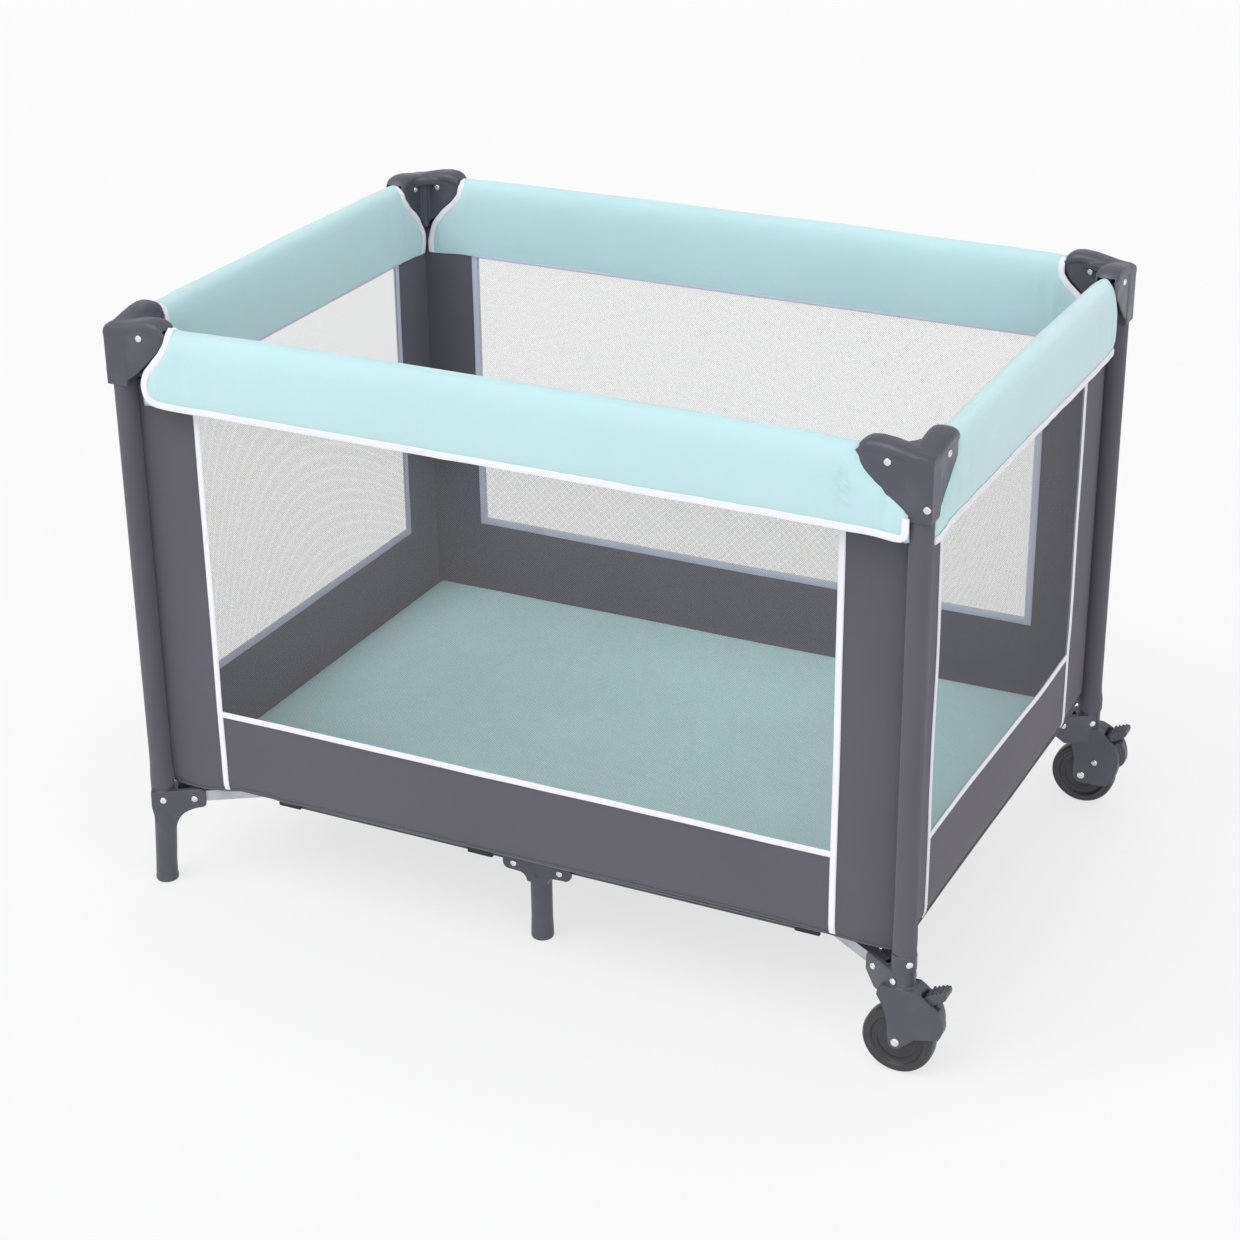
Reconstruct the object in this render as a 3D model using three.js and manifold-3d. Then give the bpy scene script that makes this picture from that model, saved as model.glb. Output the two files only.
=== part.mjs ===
// Folding playpen: four corner posts, hinged top rails with centre latches, a folding X-frame of
// arms under the floor, two middle feet on folding struts, two fixed casters with brake pedals,
// padded rail covers, fabric and mesh side panels, and a folding mattress. Millimetres, +Z up.
// +X is the caster end, -Y the front long side, z = 0 the surface that the playpen stands on.

import * as THREE from 'three';
import { mergeVertices } from 'three/addons/utils/BufferGeometryUtils.js';
import Module from 'manifold-3d';

const wasm = await Module();
wasm.setup();

// Driving dimensions -------------------------------------------------------------------------

const postX = 492.5; // corner post axis from the centre plane, along X
const postY = 345; // corner post axis from the centre plane, along Y
const originShift = -19.25; // centres the outline between the left covers and the caster hoods
const gap = 0.3; // clearance between parts that touch

const postRadius = 12.5;
const postWall = 1.2;
const postBottom = 100.3;
const postTop = 738.7;
const boreRadius = postRadius + gap; // socket that the post sits in

const pinRadius = 3; // rivets that every pivot turns on
const pinHole = 3.4;
const pinSides = 8;

const railRadius = 9.5;
const railWall = 1.2;
const railPivotZ = 729;
const railPivotInset = 35; // post axis to rail pivot
const railStub = 7; // rail past its pivot
const latchPivot = 48; // middle of a side to the pivot of each half rail
const latchHalfLength = 58;
const latchHalfWidth = 12;
const latchWall = 2;

const armPivotZ = 118;
const armPivotInset = 38.5; // post axis to arm pivot, along the arm
const armWidth = 15;
const armHeight = 14;
const tubeWall = 1.2; // wall of the rectangular arm and strut tubes
const armStub = 6.5;
const connectorAlongArm = 119.3; // arm pivot to the pin of the strut connector

const strutY = 268;
const strutZ = 101;
const strutWidth = 13;
const strutHeight = 14;
const strutInnerX = 31; // pivot on the middle foot
const strutStub = 6;

const legRadius = 16.5;
const middleLegRadius = 16;
const socketRadius = 16.8;
const socketTop = 150;
const clevisHalfGap = 7.8;
const clevisHalfWidth = 12.5;

const wheelRadius = 42;
const wheelHalfWidth = 11.5;
const wheelOffsetX = -2; // wheel axle from the post axis
const axleRadius = 4;
const wheelBore = 4.15;
const forkHalfWidth = 15.5;
const forkHalfGap = 12.2;
const forkClearance = 2.8; // between the tread and the inside of the hood
const pedalPivotX = 33; // from the post axis
const pedalPivotZ = 99;
const pedalPinRadius = 2.4;

const coverBottom = 652;
const coverTop = 744;
const coverHalfThickness = 17.5;
const panelInset = 10; // post axis to the side panel's middle, towards the inside
const panelThickness = 1.6;
const panelBottom = 141;
const panelTop = coverBottom - gap;
const panelEndInset = 17.5; // post axis to the end of a side panel
const windowBottom = 248;
const windowInset = 90; // post axis to the side of the mesh window

const floorBottom = 125.7;
const floorTop = 127.7;
const floorNotchX = 437; // the floor is cut back around each foot bracket
const floorNotchY = 303;
const mattressBottom = 128;
const mattressTop = 150;
const mattressHalfLength = 473;
const mattressHalfWidth = 326;
const mattressFoldX = 85; // fold lines beside the middle panel

// Arms run from each corner to the hub at one angle, set by the two half-rail lengths, so that
// the rails and the arms fold through equal angles.
const longHalfRail = postX - railPivotInset - latchPivot;
const shortHalfRail = postY - railPivotInset - latchPivot;
const armAzimuth = Math.atan2(shortHalfRail, longHalfRail);
const armLength = Math.hypot(longHalfRail, shortHalfRail);
const hubPivotX = postX - armPivotInset * Math.cos(armAzimuth) - longHalfRail;
const hubPivotY = postY - armPivotInset * Math.sin(armAzimuth) - shortHalfRail;
const strutOuterX = 340;

// Materials ----------------------------------------------------------------------------------

function material(color, roughness, metalness) {
  return new THREE.MeshStandardMaterial({ color, roughness, metalness });
}

const steel = () => material(0xb9bcc2, 0.4, 0.9);
const plastic = () => material(0x555a62, 0.5, 0);
const blackPlastic = () => material(0x1d1e21, 0.55, 0);
const padding = () => material(0xbee2e5, 0.85, 0);
const wallFabric = () => material(0x62616a, 0.9, 0);
const netting = () => material(0x77777f, 0.9, 0);
const mattressFabric = () => material(0xa5c5c8, 0.9, 0);

// Solids -------------------------------------------------------------------------------------

function toSolid(geometry) {
  const bare = geometry.clone();
  bare.deleteAttribute('normal');
  bare.deleteAttribute('uv');
  const merged = mergeVertices(bare, 1e-4);
  const vertProperties = new Float32Array(merged.attributes.position.array);
  const triVerts = new Uint32Array(merged.index.array);
  return new wasm.Manifold(new wasm.Mesh({ numProp: 3, vertProperties, triVerts }));
}

function toGeometry(solid) {
  const { vertProperties, triVerts } = solid.getMesh();
  const geometry = new THREE.BufferGeometry();
  geometry.setAttribute('position', new THREE.BufferAttribute(new Float32Array(vertProperties), 3));
  geometry.setIndex(new THREE.BufferAttribute(new Uint32Array(triVerts), 1));
  geometry.computeVertexNormals();
  return geometry;
}

function join(...solids) {
  return solids.reduce((whole, solid) => whole.add(solid));
}

function cut(body, ...tools) {
  return tools.reduce((rest, tool) => rest.subtract(tool), body);
}

function box([x0, x1], [y0, y1], [z0, z1], turn = 0) {
  const geometry = new THREE.BoxGeometry(x1 - x0, y1 - y0, z1 - z0);
  geometry.translate((x0 + x1) / 2, (y0 + y1) / 2, (z0 + z1) / 2);
  return toSolid(geometry.rotateZ(turn));
}

function outlineShape(points) {
  return new THREE.Shape(points.map(([x, y]) => new THREE.Vector2(x, y)));
}

// A plan outline (x, y) raised from z0 to z1.
function raise(points, [z0, z1]) {
  const geometry = new THREE.ExtrudeGeometry(outlineShape(points), { depth: z1 - z0, bevelEnabled: false });
  return toSolid(geometry.translate(0, 0, z0));
}

// A side outline (x, z) spread over y0 to y1, with an optional chamfer on both faces.
function spread(shape, [y0, y1], chamfer = 0) {
  const geometry = new THREE.ExtrudeGeometry(shape, {
    depth: y1 - y0 - 2 * chamfer,
    bevelEnabled: chamfer > 0,
    bevelThickness: chamfer,
    bevelSize: chamfer,
    bevelOffset: -chamfer,
    bevelSegments: 1,
    curveSegments: 4,
  });
  return toSolid(geometry.rotateX(Math.PI / 2).translate(0, y1 - chamfer, 0));
}

function cylinderZ(radius, [z0, z1]) {
  const geometry = new THREE.CylinderGeometry(radius, radius, z1 - z0, 16);
  return toSolid(geometry.rotateX(Math.PI / 2).translate(0, 0, (z0 + z1) / 2));
}

function cylinderY(radius, [y0, y1], sides, [x, z]) {
  const geometry = new THREE.CylinderGeometry(radius, radius, y1 - y0, sides);
  return toSolid(geometry.translate(x, (y0 + y1) / 2, z));
}

function turned(solid, angle) {
  return toSolid(toGeometry(solid).rotateZ(angle));
}

// Tubes run along +X from their first pivot at x = 0, with pin holes across Y.

function roundTube(radius, wall, length, stub) {
  const outer = new THREE.CylinderGeometry(radius, radius, length + 2 * stub, 12);
  const inner = new THREE.CylinderGeometry(radius - wall, radius - wall, length + 2 * stub + 2, 12);
  const tube = [outer, inner].map((g) => toSolid(g.rotateZ(Math.PI / 2).translate(length / 2, 0, 0)));
  return cut(tube[0], tube[1]);
}

function squareTube(width, height, length, stub) {
  const outer = box([-stub, length + stub], [-width / 2, width / 2], [-height / 2, height / 2]);
  const w = width / 2 - tubeWall;
  const h = height / 2 - tubeWall;
  return cut(outer, box([-stub - 1, length + stub + 1], [-w, w], [-h, h]));
}

function drilled(tube, width, positions) {
  const holes = positions.map((x) => cylinderY(pinHole, [-width, width], pinSides, [x, 0]));
  return cut(tube, ...holes);
}

// Corner parts -------------------------------------------------------------------------------

function cornerPost() {
  return cut(
    cylinderZ(postRadius, [postBottom, postTop]),
    cylinderZ(postRadius - postWall, [postBottom - 1, postTop + 1]),
  );
}

// Outline of one wing of the top bracket: distance from the post axis, height.
function bracketWingShape() {
  const shape = new THREE.Shape();
  shape.moveTo(-8, 667);
  shape.lineTo(4, 668.5);
  shape.lineTo(28, 684.5);
  shape.lineTo(62, 716.5);
  shape.quadraticCurveTo(71, 726, 70.5, 737);
  shape.quadraticCurveTo(70, 751, 58, 755);
  shape.quadraticCurveTo(40, 758, 20, 749);
  shape.lineTo(-8, 744);
  return shape;
}

function topBracket() {
  const halfWidth = 15;
  const wing = spread(bracketWingShape(), [-halfWidth, halfWidth], 2);
  const crossWing = turned(wing, Math.PI / 2);
  const channelHalf = 12.2;
  const channel = box([22.5, 90], [-channelHalf, channelHalf], [600, 741.5]);
  const crossChannel = turned(channel, Math.PI / 2);
  const body = cut(
    join(wing, crossWing, cylinderZ(socketRadius, [667, 744])),
    channel,
    crossChannel,
    cylinderZ(boreRadius, [600, 739]),
  );
  const pin = cylinderY(pinRadius, [-halfWidth + 1, halfWidth - 1], pinSides, [railPivotInset, railPivotZ]);
  return join(body, pin, turned(pin, Math.PI / 2));
}

// Clevis that holds one arm, running along +X from the post axis.
function armClevis() {
  const outline = outlineShape([
    [0, 84], [14, 90], [24, 104.8], [46, 104.8], [52, 111], [52, 121], [46, floorTop],
    [26, floorTop], [17, 136], [0, 146],
  ]);
  const block = spread(outline, [-clevisHalfWidth, clevisHalfWidth], 1.5);
  const slot = box([20, 80], [-clevisHalfGap, clevisHalfGap], [107.8, 200]);
  const pin = cylinderY(pinRadius, [-11, 11], pinSides, [armPivotInset, armPivotZ]);
  return join(cut(block, slot), pin);
}

function postSocketBore() {
  return cylinderZ(boreRadius, [postBottom - gap, socketTop + 10]);
}

function footBracket() {
  const foot = new THREE.LatheGeometry(
    [[0, 0], [15.5, 0], [17, 1.5], [17, 12], [legRadius, 22], [legRadius, 84], [socketRadius, 96],
      [socketRadius, socketTop - 1.5], [socketRadius - 1.5, socketTop], [0, socketTop]]
      .map(([r, z]) => new THREE.Vector2(r, z)), 16);
  const leg = toSolid(foot.rotateX(Math.PI / 2));
  return cut(join(leg, armClevis()), postSocketBore());
}

function forkShape() {
  const shape = new THREE.Shape();
  shape.moveTo(-19, 103);
  shape.lineTo(-19, 97);
  shape.lineTo(-10, 45);
  shape.absarc(wheelOffsetX, wheelRadius, 8.5, Math.PI * 0.95, Math.PI * 1.72, false);
  shape.lineTo(44, 58);
  shape.quadraticCurveTo(56, 62, 56, 72);
  shape.quadraticCurveTo(56, 88, 46, 97);
  shape.quadraticCurveTo(36, 107, 18, 112);
  shape.lineTo(-14, 112);
  return shape;
}

// Post socket, arm clevis and wheel fork with its hood, in one moulding.
function casterBracket(clevisAzimuth) {
  const axle = [wheelOffsetX, wheelRadius];
  const fork = cut(
    spread(forkShape(), [-forkHalfWidth, forkHalfWidth], 1.5),
    cylinderY(wheelRadius + forkClearance, [-forkHalfGap, forkHalfGap], 24, axle),
    box([24, 80], [-10.5, 10.5], [90, 140]),
    cylinderY(pedalPinRadius + gap, [-20, 20], 12, [pedalPivotX, pedalPivotZ]),
  );
  const socket = cylinderZ(socketRadius, [95, socketTop]);
  const body = join(fork, socket, turned(armClevis(), clevisAzimuth));
  return join(
    cut(body, postSocketBore(), cylinderY(wheelRadius + forkClearance, [-forkHalfGap, forkHalfGap], 24, axle)),
    cylinderY(axleRadius, [-forkHalfWidth + 1, forkHalfWidth - 1], 12, axle),
  );
}

// Wheel with raised rim and hub rings, turned about Y.
function wheel() {
  const rim = wheelHalfWidth;
  const web = wheelHalfWidth - 2.5;
  const halfProfile = [[wheelBore, rim], [13, rim], [15, web], [29, web], [32, rim], [38.5, rim], [wheelRadius, rim - 4]];
  const mirrored = halfProfile.map(([r, y]) => [r, -y]).reverse();
  const closed = [...halfProfile, ...mirrored, halfProfile[0]].reverse();
  return new THREE.LatheGeometry(closed.map(([r, y]) => new THREE.Vector2(r, y)), 24);
}

function brakePedal() {
  const outline = outlineShape([
    [29.5, 98], [31, 95.5], [35, 95], [38, 97.5], [54, 106], [55.5, 109], [54.5, 112.5],
    [37, 107.5], [30, 103.5],
  ]);
  const plate = spread(outline, [-9.8, 9.8], 0.8);
  const ribs = [40, 44, 48, 52].map((x) => {
    const z = 107.5 + (x - 37) * 0.286;
    return box([x - 0.8, x + 0.8], [-8.5, 8.5], [z - 1.5, z + 1.2]);
  });
  const pin = cylinderY(pedalPinRadius, [-forkHalfWidth + 0.5, forkHalfWidth - 0.5], 12, [pedalPivotX, pedalPivotZ]);
  return join(plate, ...ribs, pin);
}

// Rails --------------------------------------------------------------------------------------

function halfRail(length) {
  return drilled(roundTube(railRadius, railWall, length, railStub), 2 * railRadius, [0, length]);
}

// Latch channel at the middle of a side, along X, open at the top.
function latch() {
  const bottom = railPivotZ - 15;
  const channelFloor = railPivotZ - 12.6;
  const outer = box([-latchHalfLength, latchHalfLength], [-latchHalfWidth, latchHalfWidth], [bottom, 735]);
  const inside = latchHalfWidth - latchWall;
  const pins = [-latchPivot, latchPivot].map((x) =>
    cylinderY(pinRadius, [-latchHalfWidth + 1, latchHalfWidth - 1], pinSides, [x, railPivotZ]));
  return join(cut(outer, box([-70, 70], [-inside, inside], [channelFloor, 760])), ...pins);
}

// Padded cover along a whole side, notched at both ends around the top brackets.
function railCover(halfSpan) {
  const end = halfSpan; // post axis from the middle of the side
  const endOutline = [[17.5, 660], [17.5, 675], [28, 682.5], [62, 714.5], [70, 723], [73, 735], [73, coverTop + 5]];
  const left = endOutline.map(([u, z]) => [u - end, z]);
  const right = endOutline.map(([u, z]) => [end - u, z]).reverse();
  const outline = outlineShape([
    [24 - end, coverBottom - 5], ...left, ...right, [end - 24, coverBottom - 5],
  ]);
  const side = spread(outline, [-30, 30]);
  const section = new THREE.Shape();
  const t = coverHalfThickness;
  section.moveTo(-t, coverBottom + 12);
  section.quadraticCurveTo(-t, coverBottom, -t + 9, coverBottom);
  section.lineTo(t - 9, coverBottom);
  section.quadraticCurveTo(t, coverBottom, t, coverBottom + 12);
  section.lineTo(t, coverTop - 14);
  section.absarc(t - 14, coverTop - 14, 14, 0, Math.PI / 2, false);
  section.absarc(14 - t, coverTop - 14, 14, Math.PI / 2, Math.PI, false);
  const bar = spread(section, [-end, end]);
  const along = turned(bar, Math.PI / 2);
  const sleeve = join(
    box([-end, end], [-latchHalfWidth - 0.6, latchHalfWidth + 0.6], [712, 736]),
    box([-end, end], [-railRadius - 0.5, railRadius + 0.5], [712, 739.4]),
  );
  return cut(along.intersect(side), sleeve);
}

// Side panels --------------------------------------------------------------------------------

function sidePanel(halfSpan) {
  const end = halfSpan - panelEndInset;
  const window = halfSpan - windowInset;
  const outline = outlineShape([
    [-end, panelBottom], [end, panelBottom], [end, panelTop], [window, panelTop],
    [window, windowBottom], [-window, windowBottom], [-window, panelTop], [-end, panelTop],
  ]);
  return spread(outline, [-panelThickness / 2, panelThickness / 2]);
}

function meshWindow(halfSpan) {
  const side = halfSpan - windowInset - gap;
  return box([-side, side], [-0.6, 0.6], [windowBottom + gap, panelTop]);
}

// Floor frame --------------------------------------------------------------------------------

function arm() {
  const tube = squareTube(armWidth, armHeight, armLength, armStub);
  return drilled(tube, armWidth, [0, connectorAlongArm, armLength]);
}

function hub() {
  const height = [107, 125];
  const blocks = [];
  const slots = [];
  const pins = [];
  for (const [sx, sy] of [[1, 1], [-1, 1], [-1, -1], [1, -1]]) {
    const azimuth = Math.atan2(sy * Math.sin(armAzimuth), sx * Math.cos(armAzimuth));
    const place = (solid) => {
      const geometry = toGeometry(solid).rotateZ(azimuth);
      return toSolid(geometry.translate(sx * hubPivotX, sy * hubPivotY, 0));
    };
    blocks.push(place(box([-44, 9], [-12, 12], height)));
    slots.push(place(box([-10.5, 30], [-clevisHalfGap, clevisHalfGap], [90, 140])));
    pins.push(place(cylinderY(pinRadius, [-11, 11], pinSides, [0, armPivotZ])));
  }
  const core = box([-36, 36], [-50, 50], height);
  return join(cut(join(core, ...blocks), ...slots), ...pins);
}

// Keeps level beside an arm and carries the outer end of a strut. Built at the +X +Y corner in
// world position; sx and sy mirror it to the others.
function strutConnector(sx, sy) {
  const wedge = [[349.8, 263.6], [366, 274], [366, 279], [334, 279], [334, 274.8], [349.8, 274.8]];
  const body = raise(wedge.map(([x, y]) => [sx * x, sy * y]), [95, 124]);
  const armPinX = sx * (postX - (armPivotInset + connectorAlongArm) * Math.cos(armAzimuth));
  const armPinY = sy * (postY - (armPivotInset + connectorAlongArm) * Math.sin(armAzimuth));
  const armPin = new THREE.CylinderGeometry(pinRadius, pinRadius, 19, pinSides);
  armPin.rotateZ(sx * sy * armAzimuth);
  armPin.translate(armPinX, armPinY, armPivotZ);
  const strutPin = cylinderY(pinRadius, [-7.5, 7.5], pinSides, [sx * strutOuterX, strutZ]);
  const strutPinPlaced = toSolid(toGeometry(strutPin).translate(0, sy * strutY, 0));
  return join(body, toSolid(armPin), strutPinPlaced);
}

function strut() {
  const length = strutOuterX - strutInnerX;
  return drilled(squareTube(strutWidth, strutHeight, length, strutStub), strutWidth, [0, length]);
}

// Middle foot: a leg under a T-shaped bracket with a slot for each strut.
function middleFoot() {
  const profile = [[0, 0], [15, 0], [16.5, 1.5], [16.5, 12], [middleLegRadius, 22], [middleLegRadius, 96], [0, 96]];
  const leg = toSolid(new THREE.LatheGeometry(profile.map(([r, z]) => new THREE.Vector2(r, z)), 16)
    .rotateX(Math.PI / 2));
  const outline = outlineShape([
    [-45, 95], [-40, 92], [-22, 92], [-14, 86], [14, 86], [22, 92], [40, 92], [45, 95],
    [45, 108], [38, 113.5], [-38, 113.5], [-45, 108],
  ]);
  const ear = 10.8;
  const slotHalf = strutWidth / 2 + gap;
  const slots = [[20.5, 60], [-60, -20.5]].map((x) => box(x, [-slotHalf, slotHalf], [80, 110.6]));
  const bar = cut(spread(outline, [-ear, ear], 1.2), ...slots);
  const pins = [-strutInnerX, strutInnerX].map((x) => cylinderY(pinRadius, [-9.5, 9.5], pinSides, [x, strutZ]));
  return join(leg, bar, ...pins);
}

// Floor and mattress -------------------------------------------------------------------------

function floorFabric() {
  const x = postX - panelInset - 4;
  const y = postY - panelInset - 4;
  const quarter = [[x, floorNotchY], [floorNotchX, floorNotchY], [floorNotchX, y]];
  const outline = [
    ...quarter,
    ...quarter.map(([px, py]) => [-px, py]).reverse(),
    ...quarter.map(([px, py]) => [-px, -py]),
    ...quarter.map(([px, py]) => [px, -py]).reverse(),
  ];
  return raise(outline, [floorBottom, floorTop]);
}

function mattressPanel(x0, x1) {
  return box([x0, x1], [-mattressHalfWidth, mattressHalfWidth], [mattressBottom, mattressTop]);
}

// Assembly -----------------------------------------------------------------------------------

const playpen = new THREE.Group();
playpen.position.x = originShift;

function place(name, shape, look, parent = playpen) {
  const geometry = shape.isBufferGeometry ? shape : toGeometry(shape);
  const mesh = new THREE.Mesh(geometry, look);
  mesh.name = name;
  parent.add(mesh);
  return mesh;
}

const corners = [
  { tag: 'front_left', sx: -1, sy: -1, quarterTurns: 0 },
  { tag: 'front_right', sx: 1, sy: -1, quarterTurns: 1 },
  { tag: 'rear_right', sx: 1, sy: 1, quarterTurns: 2 },
  { tag: 'rear_left', sx: -1, sy: 1, quarterTurns: 3 },
];

for (const { tag, sx, sy, quarterTurns } of corners) {
  const corner = new THREE.Group();
  corner.position.set(sx * postX, sy * postY, 0);
  playpen.add(corner);

  place(`corner_post_${tag}`, cornerPost(), steel(), corner);
  const bracket = place(`top_bracket_${tag}`, topBracket(), plastic(), corner);
  bracket.rotation.z = quarterTurns * Math.PI / 2;

  const towardsHub = Math.atan2(-sy * Math.sin(armAzimuth), -sx * Math.cos(armAzimuth));
  if (sx < 0) {
    const foot = place(`foot_bracket_${tag}`, footBracket(), plastic(), corner);
    foot.rotation.z = towardsHub;
  } else {
    place(`caster_bracket_${tag}`, casterBracket(towardsHub), plastic(), corner);
    const caster = place(`caster_wheel_${tag}`, wheel(), blackPlastic(), corner);
    caster.position.set(wheelOffsetX, 0, wheelRadius);
    place(`brake_pedal_${tag}`, brakePedal(), plastic(), corner);
  }

  const armMesh = place(`floor_arm_${tag}`, arm(), steel(), corner);
  armMesh.position.set(armPivotInset * Math.cos(towardsHub), armPivotInset * Math.sin(towardsHub), armPivotZ);
  armMesh.rotation.z = towardsHub;

  const longRail = place(`long_half_rail_${tag}`, halfRail(longHalfRail), steel(), corner);
  longRail.position.set(-sx * railPivotInset, 0, railPivotZ);
  longRail.rotation.z = sx > 0 ? Math.PI : 0;
  const shortRail = place(`short_half_rail_${tag}`, halfRail(shortHalfRail), steel(), corner);
  shortRail.position.set(0, -sy * railPivotInset, railPivotZ);
  shortRail.rotation.z = -sy * Math.PI / 2;

  place(`strut_connector_${tag}`, strutConnector(sx, sy), blackPlastic());
  const strutMesh = place(`floor_strut_${tag}`, strut(), steel());
  strutMesh.position.set(sx * strutInnerX, sy * strutY, strutZ);
  strutMesh.rotation.z = sx > 0 ? 0 : Math.PI;
}

const sides = [
  { tag: 'front', halfSpan: postX, x: 0, y: -postY, turn: 0, inward: 1 },
  { tag: 'rear', halfSpan: postX, x: 0, y: postY, turn: 0, inward: -1 },
  { tag: 'left', halfSpan: postY, x: -postX, y: 0, turn: Math.PI / 2, inward: -1 },
  { tag: 'right', halfSpan: postY, x: postX, y: 0, turn: Math.PI / 2, inward: 1 },
];

for (const { tag, halfSpan, x, y, turn, inward } of sides) {
  const side = new THREE.Group();
  side.position.set(x, y, 0);
  side.rotation.z = turn;
  playpen.add(side);

  place(`rail_latch_${tag}`, latch(), steel(), side);
  place(`rail_cover_${tag}`, railCover(halfSpan), padding(), side);
  place(`side_panel_${tag}`, sidePanel(halfSpan), wallFabric(), side).position.y = inward * panelInset;
  place(`mesh_window_${tag}`, meshWindow(halfSpan), netting(), side).position.y = inward * panelInset;
}

place('middle_foot_front', middleFoot(), plastic()).position.y = -strutY;
place('middle_foot_rear', middleFoot(), plastic()).position.y = strutY;
place('center_hub', hub(), plastic());
place('floor_fabric', floorFabric(), wallFabric());
place('mattress_middle', mattressPanel(-mattressFoldX, mattressFoldX), mattressFabric());
place('mattress_left', mattressPanel(-mattressHalfLength, -mattressFoldX - gap), mattressFabric());
place('mattress_right', mattressPanel(mattressFoldX + gap, mattressHalfLength), mattressFabric());

export default playpen;
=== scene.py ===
"""Looks of the folding playpen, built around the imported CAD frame. Metres, +Z up.

Walls are built in their own coordinates (u along the wall, v inwards, z up) and corner parts in
theirs (x and y along the two wings, from the post axis). Dimensions are written in millimetres
and scaled by MM.
"""

import math
from collections import namedtuple

import bmesh
import bpy
from mathutils import Matrix, Vector, noise


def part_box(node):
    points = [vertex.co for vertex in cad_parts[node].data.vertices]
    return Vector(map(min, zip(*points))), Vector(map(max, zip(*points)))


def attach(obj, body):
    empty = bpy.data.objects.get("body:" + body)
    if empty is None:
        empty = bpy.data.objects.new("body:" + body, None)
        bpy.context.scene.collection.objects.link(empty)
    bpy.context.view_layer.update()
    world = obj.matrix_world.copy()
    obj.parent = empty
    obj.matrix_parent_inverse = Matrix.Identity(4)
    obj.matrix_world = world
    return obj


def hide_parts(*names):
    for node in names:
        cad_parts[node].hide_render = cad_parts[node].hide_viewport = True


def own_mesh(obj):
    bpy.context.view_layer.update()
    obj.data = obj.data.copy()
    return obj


MM = 0.001
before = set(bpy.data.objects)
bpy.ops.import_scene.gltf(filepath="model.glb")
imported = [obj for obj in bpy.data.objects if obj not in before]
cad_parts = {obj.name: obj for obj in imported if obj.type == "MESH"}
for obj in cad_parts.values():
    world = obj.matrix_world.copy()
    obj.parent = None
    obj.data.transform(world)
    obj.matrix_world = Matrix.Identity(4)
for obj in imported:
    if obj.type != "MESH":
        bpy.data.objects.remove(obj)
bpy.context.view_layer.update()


# ---- Frame positions ----

CORNERS = ["front_left", "front_right", "rear_right", "rear_left"]  # in turn around the playpen


def middle(node):
    low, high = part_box(node)
    return (low + high) / 2


POST = {tag: middle(f"corner_post_{tag}").xy.to_3d() for tag in CORNERS}
CENTRE = sum(POST.values(), Vector()) / 4
HALF_X = (POST["front_right"].x - POST["front_left"].x) / 2
HALF_Y = (POST["rear_left"].y - POST["front_left"].y) / 2
FOLDED_X = 251.6 * MM / (2 * HALF_X)  # share of the post spacing that is left when folded
FOLDED_Y = 220.8 * MM / (2 * HALF_Y)
RAIL_Z = 729  # height of the rail rivets, mm
RAIL_PIVOT = 35 * MM  # post axis to the rail rivets
LATCH_PIVOT = 48 * MM  # centre of a side to the rivets of its latch
STRUT_HEIGHT = 7.5  # mm


class Side:
    """One wall. matrix takes (u, v, z) to the row frame; half is half the post spacing."""

    def __init__(self, tag, start, end, rail, panel_body, keep):
        self.tag, self.start, self.end = tag, start, end
        self.rails = (f"{rail}_rail_{start}", f"{rail}_rail_{end}")
        self.panel_body, self.keep = panel_body, keep
        along = (POST[end] - POST[start]).normalized()
        inward = Vector((0, 0, 1)).cross(along)
        self.along = along
        self.half = (POST[end] - POST[start]).length / 2
        origin = (POST[start] + POST[end]) / 2
        self.matrix = Matrix.Translation(origin) @ Matrix((along, inward, (0, 0, 1))).transposed().to_4x4()


SIDES = [
    Side("front", "front_left", "front_right", "long", "post_front_left", FOLDED_X),
    Side("right", "front_right", "rear_right", "short", "post_rear_right", FOLDED_Y),
    Side("rear", "rear_right", "rear_left", "long", "post_rear_left", FOLDED_X),
    Side("left", "rear_left", "front_left", "short", "post_rear_left", FOLDED_Y),
]


def corner_matrix(tag):
    """Corner coordinates: the wings run along +x and +y from the post axis."""
    return Matrix.Translation(POST[tag]) @ Matrix.Rotation(CORNERS.index(tag) * math.pi / 2, 4, "Z")


def signs(tag):
    """1 or -1 for the side of the centre that a corner is on, along x and y."""
    towards = POST[tag] - CENTRE
    return (1 if towards.x > 0 else -1), (1 if towards.y > 0 else -1)


def arm_direction(tag):
    """Direction of the floor arm from a corner towards the hub."""
    run = Vector((HALF_X - RAIL_PIVOT - LATCH_PIVOT, HALF_Y - RAIL_PIVOT - LATCH_PIVOT, 0)).normalized()
    sign_x, sign_y = signs(tag)
    return Vector((-sign_x * run.x, -sign_y * run.y, 0))


def arm_matrix(tag):
    """Arm coordinates: +x from the post axis along the arm."""
    run = arm_direction(tag)
    return Matrix.Translation(POST[tag]) @ Matrix.Rotation(math.atan2(run.y, run.x), 4, "Z")


# ---- Materials ----


def linear(red, green, blue):
    """8-bit sRGB to the linear colour that shaders use."""
    def channel(c):
        c /= 255
        return c / 12.92 if c <= 0.04045 else ((c + 0.055) / 1.055) ** 2.4
    return (channel(red), channel(green), channel(blue), 1)


Look = namedtuple("Look", "slot material")


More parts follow.
